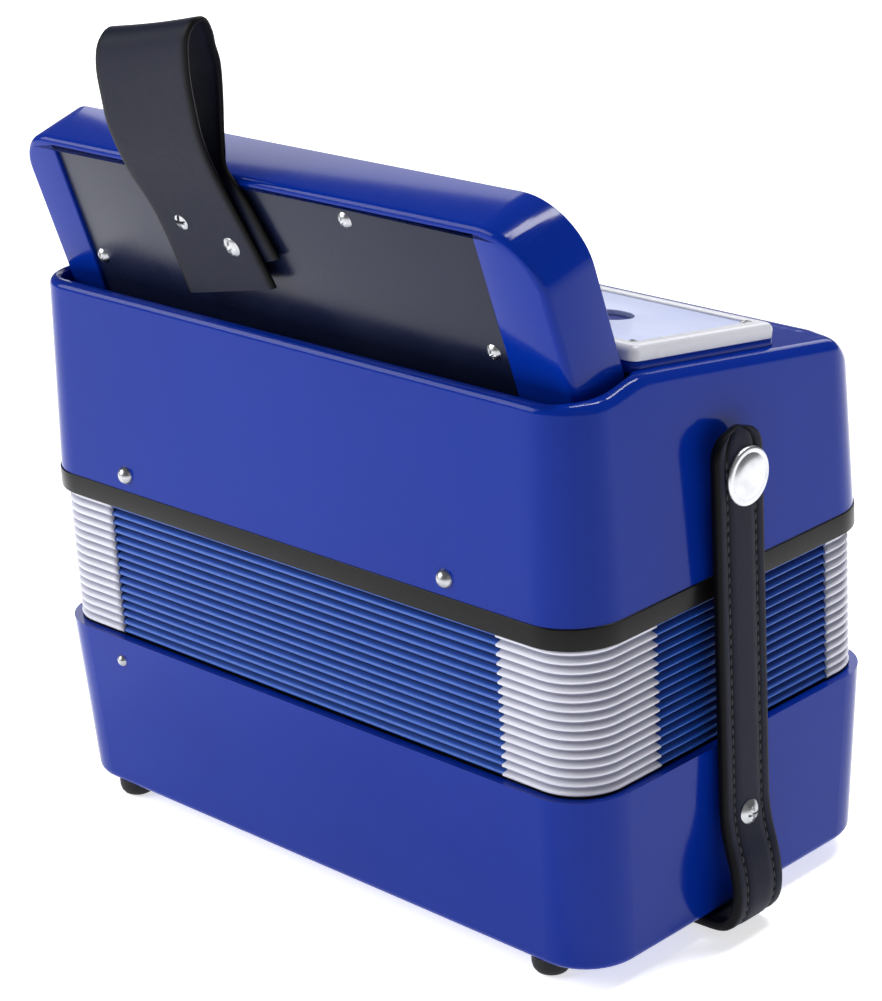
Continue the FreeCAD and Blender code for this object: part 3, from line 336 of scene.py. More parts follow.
@dataclass(frozen=True)
class Leather:
    """Coated leather: fine pebbled grain, a soft sheen, darker edges and painted shade in grooves
    and underneath.
    """

    name: str = "strap_leather"
    colour: Colour = field(default_factory=lambda: rgb(13, 17, 35))
    # Dark colour for the edges and for painted shade in the end straps' stitch grooves and
    # undersides.
    edge: Colour = field(default_factory=lambda: rgb(6, 6, 8))
    roughness: float = 0.46

    def material(self) -> Material:
        """The finish as a material, darker where the mesh's edge layer says: at the edges, and as
        painted shade in the end straps' grooves and undersides.
        """
        p = Painter(self.name)
        edge = p.attribute("edge")
        pebble = p.cells(1500.0)
        fold = p.noise(420.0, 5.0, rough=0.6)
        tone = p.noise(28.0, 4.0).clamped(0.35, 0.7)
        body = p.blend(tone * 0.45 + pebble * 0.25, self.colour, paler(self.colour, 1.35))
        height = pebble * 0.6 + fold * 0.5
        return p.finish(Base_Color=p.blend(edge, body, self.edge),
                        Roughness=self.roughness + fold * 0.12,
                        Normal=p.bump(height, 0.05), Specular_IOR_Level=0.12)


@dataclass(frozen=True)
class BellowsCloth:
    """Glazed cloth over card, bright on the ridges of the folds, with painted shade down between
    them.
    """

    name: str
    ridge: Colour
    hollow_shade: Colour
    roughness: float = 0.36
    weave: float = 130.0

    def material(self) -> Material:
        """The finish as a material, with painted shade where the mesh says a point lies deep in a
        fold.
        """
        p = Painter(self.name)
        deep = p.attribute("deep")
        threads = p.make("TexWave", {"wave_type": "BANDS", "bands_direction": "DIAGONAL"},
                         {"Vector": p.place(), "Scale": self.weave, "Distortion": 1.5,
                          "Detail": 2.0})
        weave = Field(p, threads.outputs["Fac"])
        scuff = p.noise(70.0, 5.0, (1.0, 1.0, 5.0)).clamped(0.4, 0.75)
        ridge = p.blend(scuff * 0.5, self.ridge, paler(self.ridge, 1.18, 0.01))
        # Painted shade: the cloth darkens towards the hollow colour down in each fold.
        return p.finish(Base_Color=p.blend(deep.clamped(0.15, 0.9), ridge, self.hollow_shade),
                        Roughness=self.roughness + scuff * 0.12 + deep * 0.25,
                        Normal=p.bump(weave * 0.4 + scuff * 0.6, 0.03), Sheen_Weight=0.1)


@dataclass(frozen=True)
class Thread:
    """Twisted sewing thread."""

    name: str = "stitch_thread"
    colour: Colour = field(default_factory=lambda: rgb(34, 36, 46))

    def material(self) -> Material:
        """The finish as a material."""
        p = Painter(self.name)
        twist = p.noise(5000.0, 2.0, (1.0, 1.0, 0.3))
        return p.finish(Base_Color=p.blend(twist, self.colour, paler(self.colour, 2.2)),
                        Roughness=0.7 + twist * 0.1, Normal=p.bump(twist, 0.05))


@dataclass(frozen=True)
class Wood:
    """Bare spruce, with grain along X."""

    name: str = "bare_spruce"

    def material(self) -> Material:
        """The finish as a material."""
        p = Painter(self.name)
        rings = p.noise(120.0, 5.0, (0.06, 1.0, 1.0), 0.6)
        pores = p.noise(1500.0, 2.0, (0.05, 1.0, 1.0))
        colour = p.blend(rings.clamped(0.35, 0.7), rgb(214, 184, 138), rgb(170, 130, 84))
        return p.finish(Base_Color=colour, Roughness=0.55 + pores * 0.15,
                        Normal=p.bump(pores, 0.04))


@dataclass(frozen=True)
class Cloth:
    """Thin woven cloth behind the sound holes."""

    name: str = "grille_cloth_weave"

    def material(self) -> Material:
        """The finish as a material."""
        p = Painter(self.name)
        over = p.make("TexWave", {"bands_direction": "X"}, {"Vector": p.place(), "Scale": 260.0})
        under = p.make("TexWave", {"bands_direction": "Y"}, {"Vector": p.place(), "Scale": 260.0})
        weave = Field(p, over.outputs["Fac"]) * 0.5 + Field(p, under.outputs["Fac"]) * 0.5
        return p.finish(Base_Color=p.blend(weave, rgb(16, 24, 84), rgb(44, 62, 150)),
                        Roughness=0.8 + weave * 0.1, Normal=p.bump(weave, 0.08))


class Dressing(Enum):
    """The finishes that a piece can wear."""

    BLUE = "blue"
    PANEL = "panel"
    PEARL = "pearl"
    PALE = "pale"
    BLACK = "black"
    WHITE_KEY = "white_key"
    BLACK_KEY = "black_key"
    CHROME = "chrome"
    BRASS = "brass"
    STEEL = "steel"
    REED = "reed"
    LEATHER = "leather"
    THREAD = "thread"
    FOLDS = "folds"
    CORNERS = "corners"
    WOOD = "wood"
    CLOTH = "cloth"
    RUBBER = "rubber"
    CAP = "cap"


Looks = dict[Dressing, Material]  # every finish, by name


def make_finishes() -> Looks:
    """Every finish of the accordion, made once."""
    looks = {
        Dressing.BLUE: Celluloid("blue_celluloid", rgb(4, 42, 144), rgb(3, 34, 127)),
        Dressing.PANEL: Plastic("panel_board", rgb(17, 23, 48), 0.24, 0.006, 1200.0, 0.2, 0.26),
        Dressing.PEARL: Pearl(),
        Dressing.PALE: Plastic("pale_frame", rgb(205, 206, 214), 0.25, 0.004, gloss=0.5),
        Dressing.BLACK: Plastic("black_strip", rgb(9, 9, 11), 0.25, 0.006, gloss=0.16),
        Dressing.WHITE_KEY: Celluloid("key_white", rgb(236, 235, 228), rgb(226, 224, 214),
                                      0.10, 0.003, 0.5),
        Dressing.BLACK_KEY: Celluloid("key_black", rgb(12, 12, 14), rgb(18, 18, 21),
                                      0.12, 0.003, 0.35),
        Dressing.CHROME: Metal("chrome_plate", (0.46, 0.47, 0.49, 1.0), 0.22),
        Dressing.BRASS: Metal("brass_stud", (0.72, 0.55, 0.26, 1.0), 0.25),
        Dressing.STEEL: Metal("steel_rod", (0.56, 0.57, 0.58, 1.0), 0.25),
        Dressing.REED: Metal("reed_plate", (0.7, 0.71, 0.72, 1.0), 0.35, 0.01),
        Dressing.LEATHER: Leather(),
        Dressing.THREAD: Thread(),
        # The second colour of each bellows finish is painted shade down in the folds.
        Dressing.FOLDS: BellowsCloth("bellows_blue", rgb(6, 80, 178), rgb(2, 12, 62)),
        Dressing.CORNERS: BellowsCloth("bellows_corner_white", rgb(214, 214, 226),
                                       rgb(136, 138, 156), 0.42),
        Dressing.WOOD: Wood(),
        Dressing.CLOTH: Cloth(),
        Dressing.RUBBER: Plastic("foot_rubber", rgb(22, 22, 24), 0.6, 0.03, 700.0),
        Dressing.CAP: Metal("snap_cap_plate", (0.62, 0.63, 0.66, 1.0), 0.26, 0.003),
    }
    return {key: look.material() for key, look in looks.items()}


# ---------------------------------------------------------------- mesh helpers
def mesh_object(name: str, points: Sequence[Sequence[float]], faces: Sequence[Face],
                *materials: Material, unit: float = MM,
                edges: Sequence[tuple[int, int]] = ()) -> Object:
    """An object at the origin from points and faces, shaded smooth.

    Args:
        name: The piece's name.
        points: Corners, in millimetres unless a unit is given.
        faces: Corner numbers of each face.
        materials: The piece's materials.
        unit: Metres in one unit of the points.
        edges: Loose edges.

    Returns:
        The new object, linked to the scene.
    """
    mesh = bpy.data.meshes.new(name)
    mesh.from_pydata([tuple(c * unit for c in p) for p in points], list(edges), list(faces))
    mesh.update()
    all_smooth(mesh)
    made = bpy.data.objects.new(name, mesh)
    bpy.context.scene.collection.objects.link(made)
    for material in materials:
        mesh.materials.append(material)
    return made


def all_smooth(mesh: bpy.types.Mesh) -> None:
    """Shade every face smooth."""
    for poly in mesh.polygons:
        poly.use_smooth = True


def stands_for(obj: Object, body: str, slot: str, *nodes: str) -> Object:
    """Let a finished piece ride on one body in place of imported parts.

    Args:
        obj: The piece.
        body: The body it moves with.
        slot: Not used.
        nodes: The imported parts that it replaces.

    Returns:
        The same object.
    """
    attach(obj, body)
    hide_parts(*nodes)
    return obj


def walled(obj: Object, thick: float) -> Object:
    """Give a skin a wall on its inner side, in millimetres."""
    wall = obj.modifiers.new("wall", "SOLIDIFY")
    wall.thickness = thick * MM
    wall.offset = -1.0
    return baked(obj)


def outward(obj: Object, merge_mm: float = 0.001) -> Object:
    """Merge doubles and turn every face outwards."""
    bm = bmesh.new()
    bm.from_mesh(obj.data)
    bmesh.ops.remove_doubles(bm, verts=bm.verts, dist=merge_mm * MM)
    bmesh.ops.recalc_face_normals(bm, faces=bm.faces)
    bm.to_mesh(obj.data)
    bm.free()
    return obj


def baked(obj: Object) -> Object:
    """Put an object's modifiers into its mesh and remove them."""
    graph = bpy.context.evaluated_depsgraph_get()
    mesh = bpy.data.meshes.new_from_object(obj.evaluated_get(graph), depsgraph=graph)
    obj.modifiers.clear()
    old = obj.data
    obj.data = mesh
    mesh.name = obj.name
    bpy.data.meshes.remove(old)
    return obj


def sharpened(obj: Object, degrees: float = 32.0) -> Object:
    """Smooth shading, broken at edges sharper than an angle."""
    bm = bmesh.new()
    bm.from_mesh(obj.data)
    limit = math.radians(degrees)
    for edge in bm.edges:
        if len(edge.link_faces) == 2:
            edge.smooth = edge.calc_face_angle(0.0) < limit
    for face in bm.faces:
        face.smooth = True
    bm.to_mesh(obj.data)
    bm.free()
    return obj


def softened(node: str, name: str, width_mm: float, material: Material) -> Object:
    """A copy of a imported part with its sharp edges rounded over.

    Args:
        node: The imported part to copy.
        name: The new piece's name.
        width_mm: How wide the rounding is.
        material: The piece's material.

    Returns:
        The new object, not yet riding on anything.
    """
    mesh = FRAME["nodes"][node].data.copy()
    mesh.name = name
    made = bpy.data.objects.new(name, mesh)
    bpy.context.scene.collection.objects.link(made)
    bm = bmesh.new()
    bm.from_mesh(mesh)
    bmesh.ops.remove_doubles(bm, verts=bm.verts, dist=TINY)
    bmesh.ops.dissolve_limit(bm, angle_limit=math.radians(1.0), verts=bm.verts, edges=bm.edges)
    bmesh.ops.recalc_face_normals(bm, faces=bm.faces)
    bm.to_mesh(mesh)
    bm.free()
    mesh.materials.clear()
    mesh.materials.append(material)
    bevel = made.modifiers.new("rounding", "BEVEL")
    bevel.width = width_mm * MM
    bevel.segments = 3
    bevel.limit_method = "ANGLE"
    bevel.angle_limit = math.radians(40.0)
    bevel.use_clamp_overlap = True
    bevel.harden_normals = False
    baked(made)
    return sharpened(made, 35.0)


def stored(obj: Object, name: str, values: Sequence[float]) -> None:
    """Keep one number for each point of a mesh."""
    layer = obj.data.attributes.new(name, "FLOAT", "POINT")
    layer.data.foreach_set("value", list(values))


def ring_faces(rings: int, count: int, closed: bool = True) -> list[Face]:
    """Faces between rings of points that lie one after another.

    Args:
        rings: How many rings.
        count: Points in each.
        closed: Whether each ring joins up.

    Returns:
        The four-sided faces.
    """
    faces = []
    for a in range(0, (rings - 1) * count, count):
        b = a + count
        for i in range(count if closed else count - 1):
            j = (i + 1) % count
            faces.append((a + i, a + j, b + j, b + i))
    return faces


def end_faces(rings: int, count: int) -> list[Face]:
    """Faces that close the first and the last of some rings of points."""
    return [tuple(range(count)), tuple(reversed(range((rings - 1) * count, rings * count)))]


def eased(share: float) -> float:
    """A share from zero to one that starts and ends gently."""
    share = min(1.0, max(0.0, share))
    return share * share * (3 - 2 * share)


def spline(rows: Sequence[Sequence[float]], steps: int) -> list[Vector]:
    """A smooth line through points, with the same steps between each pair.

    Args:
        rows: The points, of three numbers each.
        steps: How many steps each pair gets.

    Returns:
        The points along the line.
    """
    spots = [Vector(row) for row in rows]
    out: list[Vector] = []
    for i, (a, b) in enumerate(zip(spots, spots[1:])):
        before, after = spots[max(i - 1, 0)], spots[min(i + 2, len(spots) - 1)]
        for k in range(steps):
            t = k / steps
            out.append(0.5 * ((2 * a) + (b - before) * t
                              + (2 * before - 5 * a + 4 * b - after) * t * t
                              + (3 * a - before - 3 * b + after) * t ** 3))
    return out + [spots[-1]]


def smooth_line(rows: Sequence[Sequence[float]], step: float) -> list[Vector]:
    """Points at even steps along a smooth line through others.

    Args:
        rows: The points, of three numbers each.
        step: The distance between the new points.

    Returns:
        The new points.
    """
    fine = spline(rows, FINE_STEPS)
    total = [0.0]
    for a, b in zip(fine, fine[1:]):
        total.append(total[-1] + (b - a).length)
    count = max(2, round(total[-1] / step))
    out, j = [], 0
    for i in range(count + 1):
        want = total[-1] * i / count
        while j < len(total) - 2 and total[j + 1] < want:
            j += 1
        span = total[j + 1] - total[j]
        out.append(fine[j].lerp(fine[j + 1], (want - total[j]) / span if span > 0 else 0.0))
    return out


def lathe(name: str, profile: Sequence[tuple[float, float]], centre: Vector, axis: Vector,
          material: Material, count: int) -> Object:
    """A turned piece about an axis.

    Args:
        name: The piece's name.
        profile: Radius and height of each ring, in millimetres, from pole to pole.
        centre: The base's middle, in millimetres.
        axis: The way its height goes.
        material: Its finish.
        count: Points round it.

    Returns:
        The new object.
    """
    turn = Vector((0, 0, 1)).rotation_difference(axis).to_matrix()
    points = []
    rings = [p for p in profile if p[0] > 0]
    for radius, height in rings:
        for i in range(count):
            a = math.tau * i / count
            around = Vector((radius * math.cos(a), radius * math.sin(a), height))
            points.append(centre + turn @ around)
    faces = ring_faces(len(rings), count)
    for end, ring in ((profile[0], 0), (profile[-1], len(rings) - 1)):
        pole = len(points)
        points.append(centre + turn @ Vector((0, 0, end[1])))
        faces += [(pole, ring * count + i, ring * count + (i + 1) % count) for i in range(count)]
    return sharpened(outward(mesh_object(name, points, faces, material)))


# ---------------------------------------------------------------- the case
@dataclass
class Outline:
    """A rounded rectangle seen from above."""

    half_x: float
    half_y: float
    radius: float
    middle_y: float

    def _flats(self) -> tuple[float, float]:
        """Half the straight part of the Y sides and of the X sides."""
        return self.half_x - self.radius, self.half_y - self.radius

    def loop(self, corner: int, side: Sequence[float], steps_x: int) -> list[Rim]:
        """Points round the outline, anticlockwise from the middle of the -Y side.

        Args:
            corner: Steps in each corner.
            side: Y of extra points on the straight X sides.
            steps_x: Steps along each half of the Y sides.

        Returns:
            The points and their outward directions.
        """
        flat_x, flat_y = self._flats()
        turns = [math.pi / 2 * i / corner for i in range(corner + 1)]
        right: list[Rim] = [(flat_x * i / steps_x, -self.half_y, 0.0, -1.0) for i in range(steps_x)]
        for a in turns:
            nx, ny = math.sin(a), -math.cos(a)
            right.append((flat_x + self.radius * nx, -flat_y + self.radius * ny, nx, ny))
        right += [(self.half_x, y, 1.0, 0.0) for y in sorted(side) if abs(y) < flat_y - 0.4]
        for a in turns:
            nx, ny = math.cos(a), math.sin(a)
            right.append((flat_x + self.radius * nx, flat_y + self.radius * ny, nx, ny))
        right += [(flat_x * (1 - i / steps_x), self.half_y, 0.0, 1.0)
                  for i in range(1, steps_x + 1)]
        left = [(-x, y, -nx, ny) for x, y, nx, ny in reversed(right[1:-1])]
        return [(x, y + self.middle_y, nx, ny) for x, y, nx, ny in right + left]

    def run(self, step: float) -> list[Rim]:
        """Points round the outline at even steps, from the middle of the +X side, anticlockwise.

        Args:
            step: The distance between points, in millimetres.

        Returns:
            The points and their outward directions.
        """
        total = self.length()
        count = 4 * round(total / step / 4)
        return [self.at(total * i / count) for i in range(count)]

    def length(self) -> float:
        """The distance round the outline, in millimetres."""
        flat_x, flat_y = self._flats()
        return 4 * flat_x + 4 * flat_y + math.tau * self.radius

    def at(self, distance: float) -> Rim:
        """The point a distance round the outline, and its outward direction.

        Args:
            distance: How far round, anticlockwise from the middle of the +X side.

        Returns:
            The point and its outward direction.
        """
        flat_x, flat_y = self._flats()
        bend = math.pi / 2 * self.radius
        at = distance % self.length()
        sides = ((flat_y, 1, 0, 0.0), (2 * flat_x, 0, 1, flat_x), (2 * flat_y, -1, 0, flat_y),
                 (2 * flat_x, 0, -1, -flat_x), (flat_y, 1, 0, -flat_y))
        corners = ((1, 1), (-1, 1), (-1, -1), (1, -1))
        for number, (size, nx, ny, start) in enumerate(sides):
            if at <= size + 1e-9:
                x = nx * self.half_x if nx else start - ny * at
                y = ny * self.half_y if ny else start + nx * at
                return (x, y + self.middle_y, float(nx), float(ny))
            at -= size
            if at <= bend + 1e-9:
                break
            at -= bend
        sx, sy = corners[number]
        a = math.radians(90.0 * number) + at / self.radius
        nx, ny = math.cos(a), math.sin(a)
        y = sy * flat_y + self.radius * ny + self.middle_y
        return (sx * flat_x + self.radius * nx, y, nx, ny)


@dataclass
class Placer:
    """Rows of small pieces set by Geometry Nodes along lines or at points."""

    finishes: Looks

    @staticmethod
    def _add(tree: Any, kind: str, inputs: dict[Any, Any], **settings: Any) -> Any:
        """Add a Geometry Nodes node.

        Args:
            tree: The tree.
            kind: The node's type.
            inputs: Values or sockets for its inputs, by name or number.
            settings: Its properties, which are set first.

        Returns:
            The new node.
        """
        made = tree.nodes.new(kind)
        for key, value in settings.items():
            setattr(made, key, value)
        for key, value in inputs.items():
            if isinstance(value, bpy.types.NodeSocket):
                tree.links.new(value, made.inputs[key])
            else:
                made.inputs[key].default_value = value
        return made

    @staticmethod
    def _tree(name: str, sizes: dict[str, float]) -> tuple[Any, Any]:
        """A new tree with a geometry input and named sizes.

        Args:
            name: The tree's name.
            sizes: Names and values of its number inputs.

        Returns:
            The tree and its input node.
        """
        tree = bpy.data.node_groups.new(name, "GeometryNodeTree")
        for way in ("INPUT", "OUTPUT"):
            tree.interface.new_socket("Geometry", in_out=way, socket_type="NodeSocketGeometry")
        for label, value in sizes.items():
            size = tree.interface.new_socket(label, in_out="INPUT", socket_type="NodeSocketFloat")
            size.default_value = value
        return tree, tree.nodes.new("NodeGroupInput")

    def _apply(self, obj: Object, tree: Any, placed: Any, finish: Dressing,
               sizes: dict[str, float]) -> Object:
        """End a tree, run it on an object and keep the result as its mesh.

        Args:
            obj: The object with the lines or points.
            tree: The Geometry Nodes tree.
            placed: The node that places the instances.
            finish: Their finish.
            sizes: Values of the tree's named inputs.

        Returns:
            The same object.
        """
        whole = self._add(tree, "GeometryNodeRealizeInstances", {0: placed.outputs[0]})
        paint = self._add(tree, "GeometryNodeSetMaterial",
                          {"Geometry": whole.outputs[0], "Material": self.finishes[finish]})
        self._add(tree, "NodeGroupOutput", {0: paint.outputs[0]})
        run = obj.modifiers.new("rows", "NODES")
        run.node_group = tree
        for item in tree.interface.items_tree:
            if item.item_type == "SOCKET" and item.in_out == "INPUT" and item.name in sizes:
                run[item.identifier] = sizes[item.name]
        return baked(obj)

    def stitches(self, name: str, lines: Sequence[Sequence[Vector]], spacing: float, long: float,
                 thick: float) -> Object:
        """Sewn stitches along lines.

        Args:
            name: The piece's name.
            lines: Points of each line, in millimetres.
            spacing: From stitch to stitch.
            long: Length of a stitch.
            thick: Thickness of the thread.

        Returns:
            The stitches as one mesh.
        """
        points: list[Vector] = []
        edges: list[tuple[int, int]] = []
        for line in lines:
            edges += [(i, i + 1) for i in range(len(points), len(points) + len(line) - 1)]
            points += [p * MM for p in line]
        obj = mesh_object(name, points, [], unit=1.0, edges=edges)
        sizes = {"Spacing": spacing * MM, "Long": long * MM, "Thick": thick * MM}
        tree, given = self._tree(name + "_rows", sizes)
        curve = self._add(tree, "GeometryNodeMeshToCurve", {0: given.outputs["Geometry"]})
        even = self._add(tree, "GeometryNodeResampleCurve",
                         {"Curve": curve.outputs[0], "Length": given.outputs["Spacing"]},
                         mode="LENGTH")
        tangent = self._add(tree, "GeometryNodeInputTangent", {})
        turn = self._add(tree, "FunctionNodeAlignRotationToVector",
                         {"Vector": tangent.outputs[0]}, axis="Z")
        thread = self._add(tree, "GeometryNodeMeshUVSphere",
                           {"Segments": 6, "Rings": 5, "Radius": 0.5})
        size = self._add(tree, "ShaderNodeCombineXYZ",
                         {"X": given.outputs["Thick"], "Y": given.outputs["Thick"],
                          "Z": given.outputs["Long"]})
        put = self._add(tree, "GeometryNodeInstanceOnPoints",
                        {"Points": even.outputs[0], "Instance": thread.outputs["Mesh"],
                         "Rotation": turn.outputs[0], "Scale": size.outputs[0]})
        self._apply(obj, tree, put, Dressing.THREAD, sizes)
        all_smooth(obj.data)
        return obj

    def copies(self, name: str, master: Object, places: Sequence[Vector],
               finish: Dressing) -> Object:
        """Copies of one small piece, stood upright at places.

        Args:
            name: The piece's name.
            master: The piece to repeat, which is removed.
            places: Where each stands, in millimetres.
            finish: Its finish.

        Returns:
            The copies as one mesh.
        """
        obj = mesh_object(name, [p * MM for p in places], [], unit=1.0)
        sizes = {"Size": 1.0}
        tree, given = self._tree(name + "_places", sizes)
        shape = self._add(tree, "GeometryNodeObjectInfo", {"Object": master})
        points = self._add(tree, "GeometryNodeMeshToPoints", {"Mesh": given.outputs["Geometry"]})
        put = self._add(tree, "GeometryNodeInstanceOnPoints",
                        {"Points": points.outputs[0], "Instance": shape.outputs["Geometry"],
                         "Scale": given.outputs["Size"]})
        self._apply(obj, tree, put, finish, sizes)
        bpy.data.objects.remove(master)
        return sharpened(obj, 35.0)


@dataclass
class TrebleCase:
    """The blue case over the keys' action: a sloping top, a rounded front and the neck's trough."""

    finishes: Looks
    body: Outline = field(default_factory=lambda: Outline(117.5, 66.75, 18.0, 10.5))
    low_z: float = 114.1
    rim_z: float = 177.2
    taper: float = 2.6
    rise_from: float = -38.0
    rise_to: float = -20.0
    rise: float = 2.7
    slope: float = 0.1512
    slope_ease: float = 6.0
    near_round: float = 2.6
    end_round: float = 3.6
    front_round: float = 14.0
    trough_x: float = 110.3
    trough_near: float = -49.05
    trough_far: float = -18.5
    trough_round: float = 9.0
    trough_deep_to: float = -29.5
    action_x: float = 102.0
    action_far: float = 34.5
    floor_z: float = 161.0
    action_z: float = 172.0
    lip: float = 1.7
    lip_steps: int = 5
    drops: tuple[float, ...] = (0.35, 0.7, 1.0)
    short_drop: float = 4.0
    skin: float = 1.4
    corner_steps: int = 14
    near_steps: int = 30
    side_from: float = -48.0
    side_step: float = 1.5
    side_count: int = 65
    wall_shares: tuple[float, ...] = (0.0, 0.25, 0.5, 0.75, 1.0)
    round_steps: int = 8
    # Points on the flat of the top: their least gap, then a grid's pitch, start and count.
    gap: float = 1.2
    grid: tuple[float, float] = (4.0, 2.0)
    grid_from: tuple[float, float] = (-112.0, -52.0)
    grid_steps: tuple[int, int] = (57, 62)

    def top(self, y: float) -> float:
        """Height of the case's top at a Y, in millimetres."""
        share = (y - self.rise_from) / (self.rise_to - self.rise_from)
        level = self.rim_z + self.rise * eased(share)
        ease = self.slope_ease
        fall = max(0.0, y - self.rise_to + ease)
        return level - self.slope * (fall - ease * (1 - math.exp(-fall / ease)) * 0.5)

    def radius(self, ny: float) -> float:
        """Rounding of the top edge where the wall faces this far along Y."""
        other = self.near_round if ny <= 0 else self.front_round
        return self.end_round + (other - self.end_round) * eased(abs(ny))

    def _skirt(self) -> list[list[Point]]:
        """Rings of the walls, from the bottom up to the flat of the top."""
        sides = [self.side_from + self.side_step * i for i in range(self.side_count)]
        loop = self.body.loop(self.corner_steps, sides, self.near_steps)
        height = self.rim_z - self.low_z
        rings: list[list[Point]] = []
        steps = self.round_steps
        levels = [(share, 0.0) for share in self.wall_shares]
        levels += [(1.0, math.pi / 2 * k / steps) for k in range(1, steps + 1)]
        for share, a in levels:
            ring = []
            for x, y, nx, ny in loop:
                r = self.radius(ny)
                z1 = self.top(y - ny * (self.taper + r)) - r
                z = self.low_z + (z1 - self.low_z) * share
                inset = self.taper * (z - self.low_z) / height + r * (1 - math.cos(a))
                ring.append((x - nx * inset, y - ny * inset, z + r * math.sin(a)))
            rings.append(ring)
        return rings

    def _opening(self) -> list[Rim]:
        """The opening's outline, anticlockwise, with its directions into the opening."""
        low, top = self.trough_near + self.trough_round, self.trough_far - self.trough_round
        flat = self.trough_x - self.trough_round
        turns = [math.pi / 2 * i / 10 for i in range(11)]
        half: list[Rim] = [(flat * i / 24, self.trough_near, 0.0, 1.0) for i in range(24)]
        half += [(flat + self.trough_round * math.sin(a),
                  self.trough_near + self.trough_round * (1 - math.cos(a)),
                  -math.sin(a), math.cos(a)) for a in turns]
        half += [(self.trough_x, low + (top - low) * i / 5, -1.0, 0.0) for i in range(1, 5)]
        half += [(self.action_x + (self.trough_x - self.action_x) * math.cos(a),
                  top + self.trough_round * math.sin(a), -math.cos(a), -math.sin(a)) for a in turns]
        rest = self.action_far - self.trough_far
        half += [(self.action_x, self.trough_far + rest * i / 11, -1.0, 0.0) for i in range(1, 12)]
        half += [(self.action_x * (1 - i / 10), self.action_far, 0.0, -1.0) for i in range(1, 11)]
        return half + [(-x, y, -nx, ny) for x, y, nx, ny in reversed(half[1:-1])]

    def _lips(self) -> list[list[Point]]:
        """Rings of the opening's rounded lip and of the walls that drop into it."""
        opening, lip = self._opening(), self.lip
        rings: list[list[Point]] = []
        for k in range(self.lip_steps + 1):
            a = math.pi / 2 * k / self.lip_steps
            back = lip - lip * math.sin(a)
            rings.append([(x - nx * back, y - ny * back,
                           self.top(y - ny * lip) - lip * (1 - math.cos(a)))
                          for x, y, nx, ny in opening])
        for drop in self.drops:
            ring = []
            for x, y, _, _ in opening:
                deep = y < self.trough_deep_to
                low = self.floor_z - 1.0 if deep else self.action_z
                z = self.top(y) - lip
                fall = z - low if deep or z > low else self.short_drop
                ring.append((x, y, z - fall * drop))
            rings.append(ring)
        return rings

    def build(self) -> Object:
        """Make the case, riding on the treble body."""
        walls, lips = self._skirt(), self._lips()
        points: list[Point] = [p for ring in walls for p in ring]
        count = len(walls[0])
        faces = ring_faces(len(walls), count)
        first, around = len(points), len(lips[0])
        points += [p for ring in lips for p in ring]
        faces += [tuple(first + i for i in face) for face in ring_faces(len(lips), around)]
        faces += self._flat(points, list(range(first - count, first)),
                            list(range(first, first + around)))
        case = outward(mesh_object("treble_case_shell", points, faces,
                                   self.finishes[Dressing.BLUE]))
        if sum(p.normal.z * p.area for p in case.data.polygons) < 0:
            case.data.flip_normals()
        sharpened(walled(case, self.skin), 50.0)
        return stands_for(case, "treble", "case_plastic", "treble_case")

    def _flat(self, points: list[Point], outer: list[int], inner: list[int]) -> list[Face]:
        """The case's top between its rounded edge and the opening.

        Args:
            points: Every point so far; more are added.
            outer: The crest's point numbers.
            inner: The opening's point numbers.

        Returns:
            The triangles.
        """
        numbers = outer + inner
        flat = [Vector(points[n][:2]) for n in numbers]
        base = len(outer)
        edges = [(i, (i + 1) % base) for i in range(base)]
        edges += [(base + i, base + (i + 1) % len(inner)) for i in range(len(inner))]
        ring_out, ring_in = flat[:base], flat[base:]

        def on_top(spot: Vector) -> bool:
            """Whether a point lies between the crest and the opening."""
            return inside(spot, ring_out) and not inside(spot, ring_in)

        for row in range(self.grid_steps[1]):
            y = self.grid_from[1] + self.grid[1] * row
            for column in range(self.grid_steps[0]):
                x = self.grid_from[0] + self.grid[0] * column
                spot = Vector((x, y))
                if on_top(spot) and clear_of(spot, flat, self.gap):
                    numbers.append(len(points))
                    points.append((x, y, self.top(y)))
                    flat.append(spot)
        found, _, triangles, *_ = delaunay_2d_cdt(flat, edges, [], 0, TINY)
        lookup = []
        for spot in found:
            best = min(range(len(flat)), key=lambda i: (flat[i] - spot).length_squared)
            lookup.append(numbers[best])
        return [tuple(lookup[i] for i in tri) for tri in triangles
                if on_top((found[tri[0]] + found[tri[1]] + found[tri[2]]) / 3)]


def inside(spot: Vector, ring: Sequence[Vector]) -> bool:
    """Whether a point lies inside a closed outline."""
    hit = False
    for a, b in zip(ring, list(ring[1:]) + [ring[0]]):
        if (a.y > spot.y) != (b.y > spot.y):
            hit ^= spot.x < (b.x - a.x) * (spot.y - a.y) / (b.y - a.y) + a.x
    return hit


def clear_of(spot: Vector, others: Sequence[Vector], gap: float) -> bool:
    """Whether a point keeps a gap from every other."""
    return all((spot - other).length_squared > gap * gap for other in others)


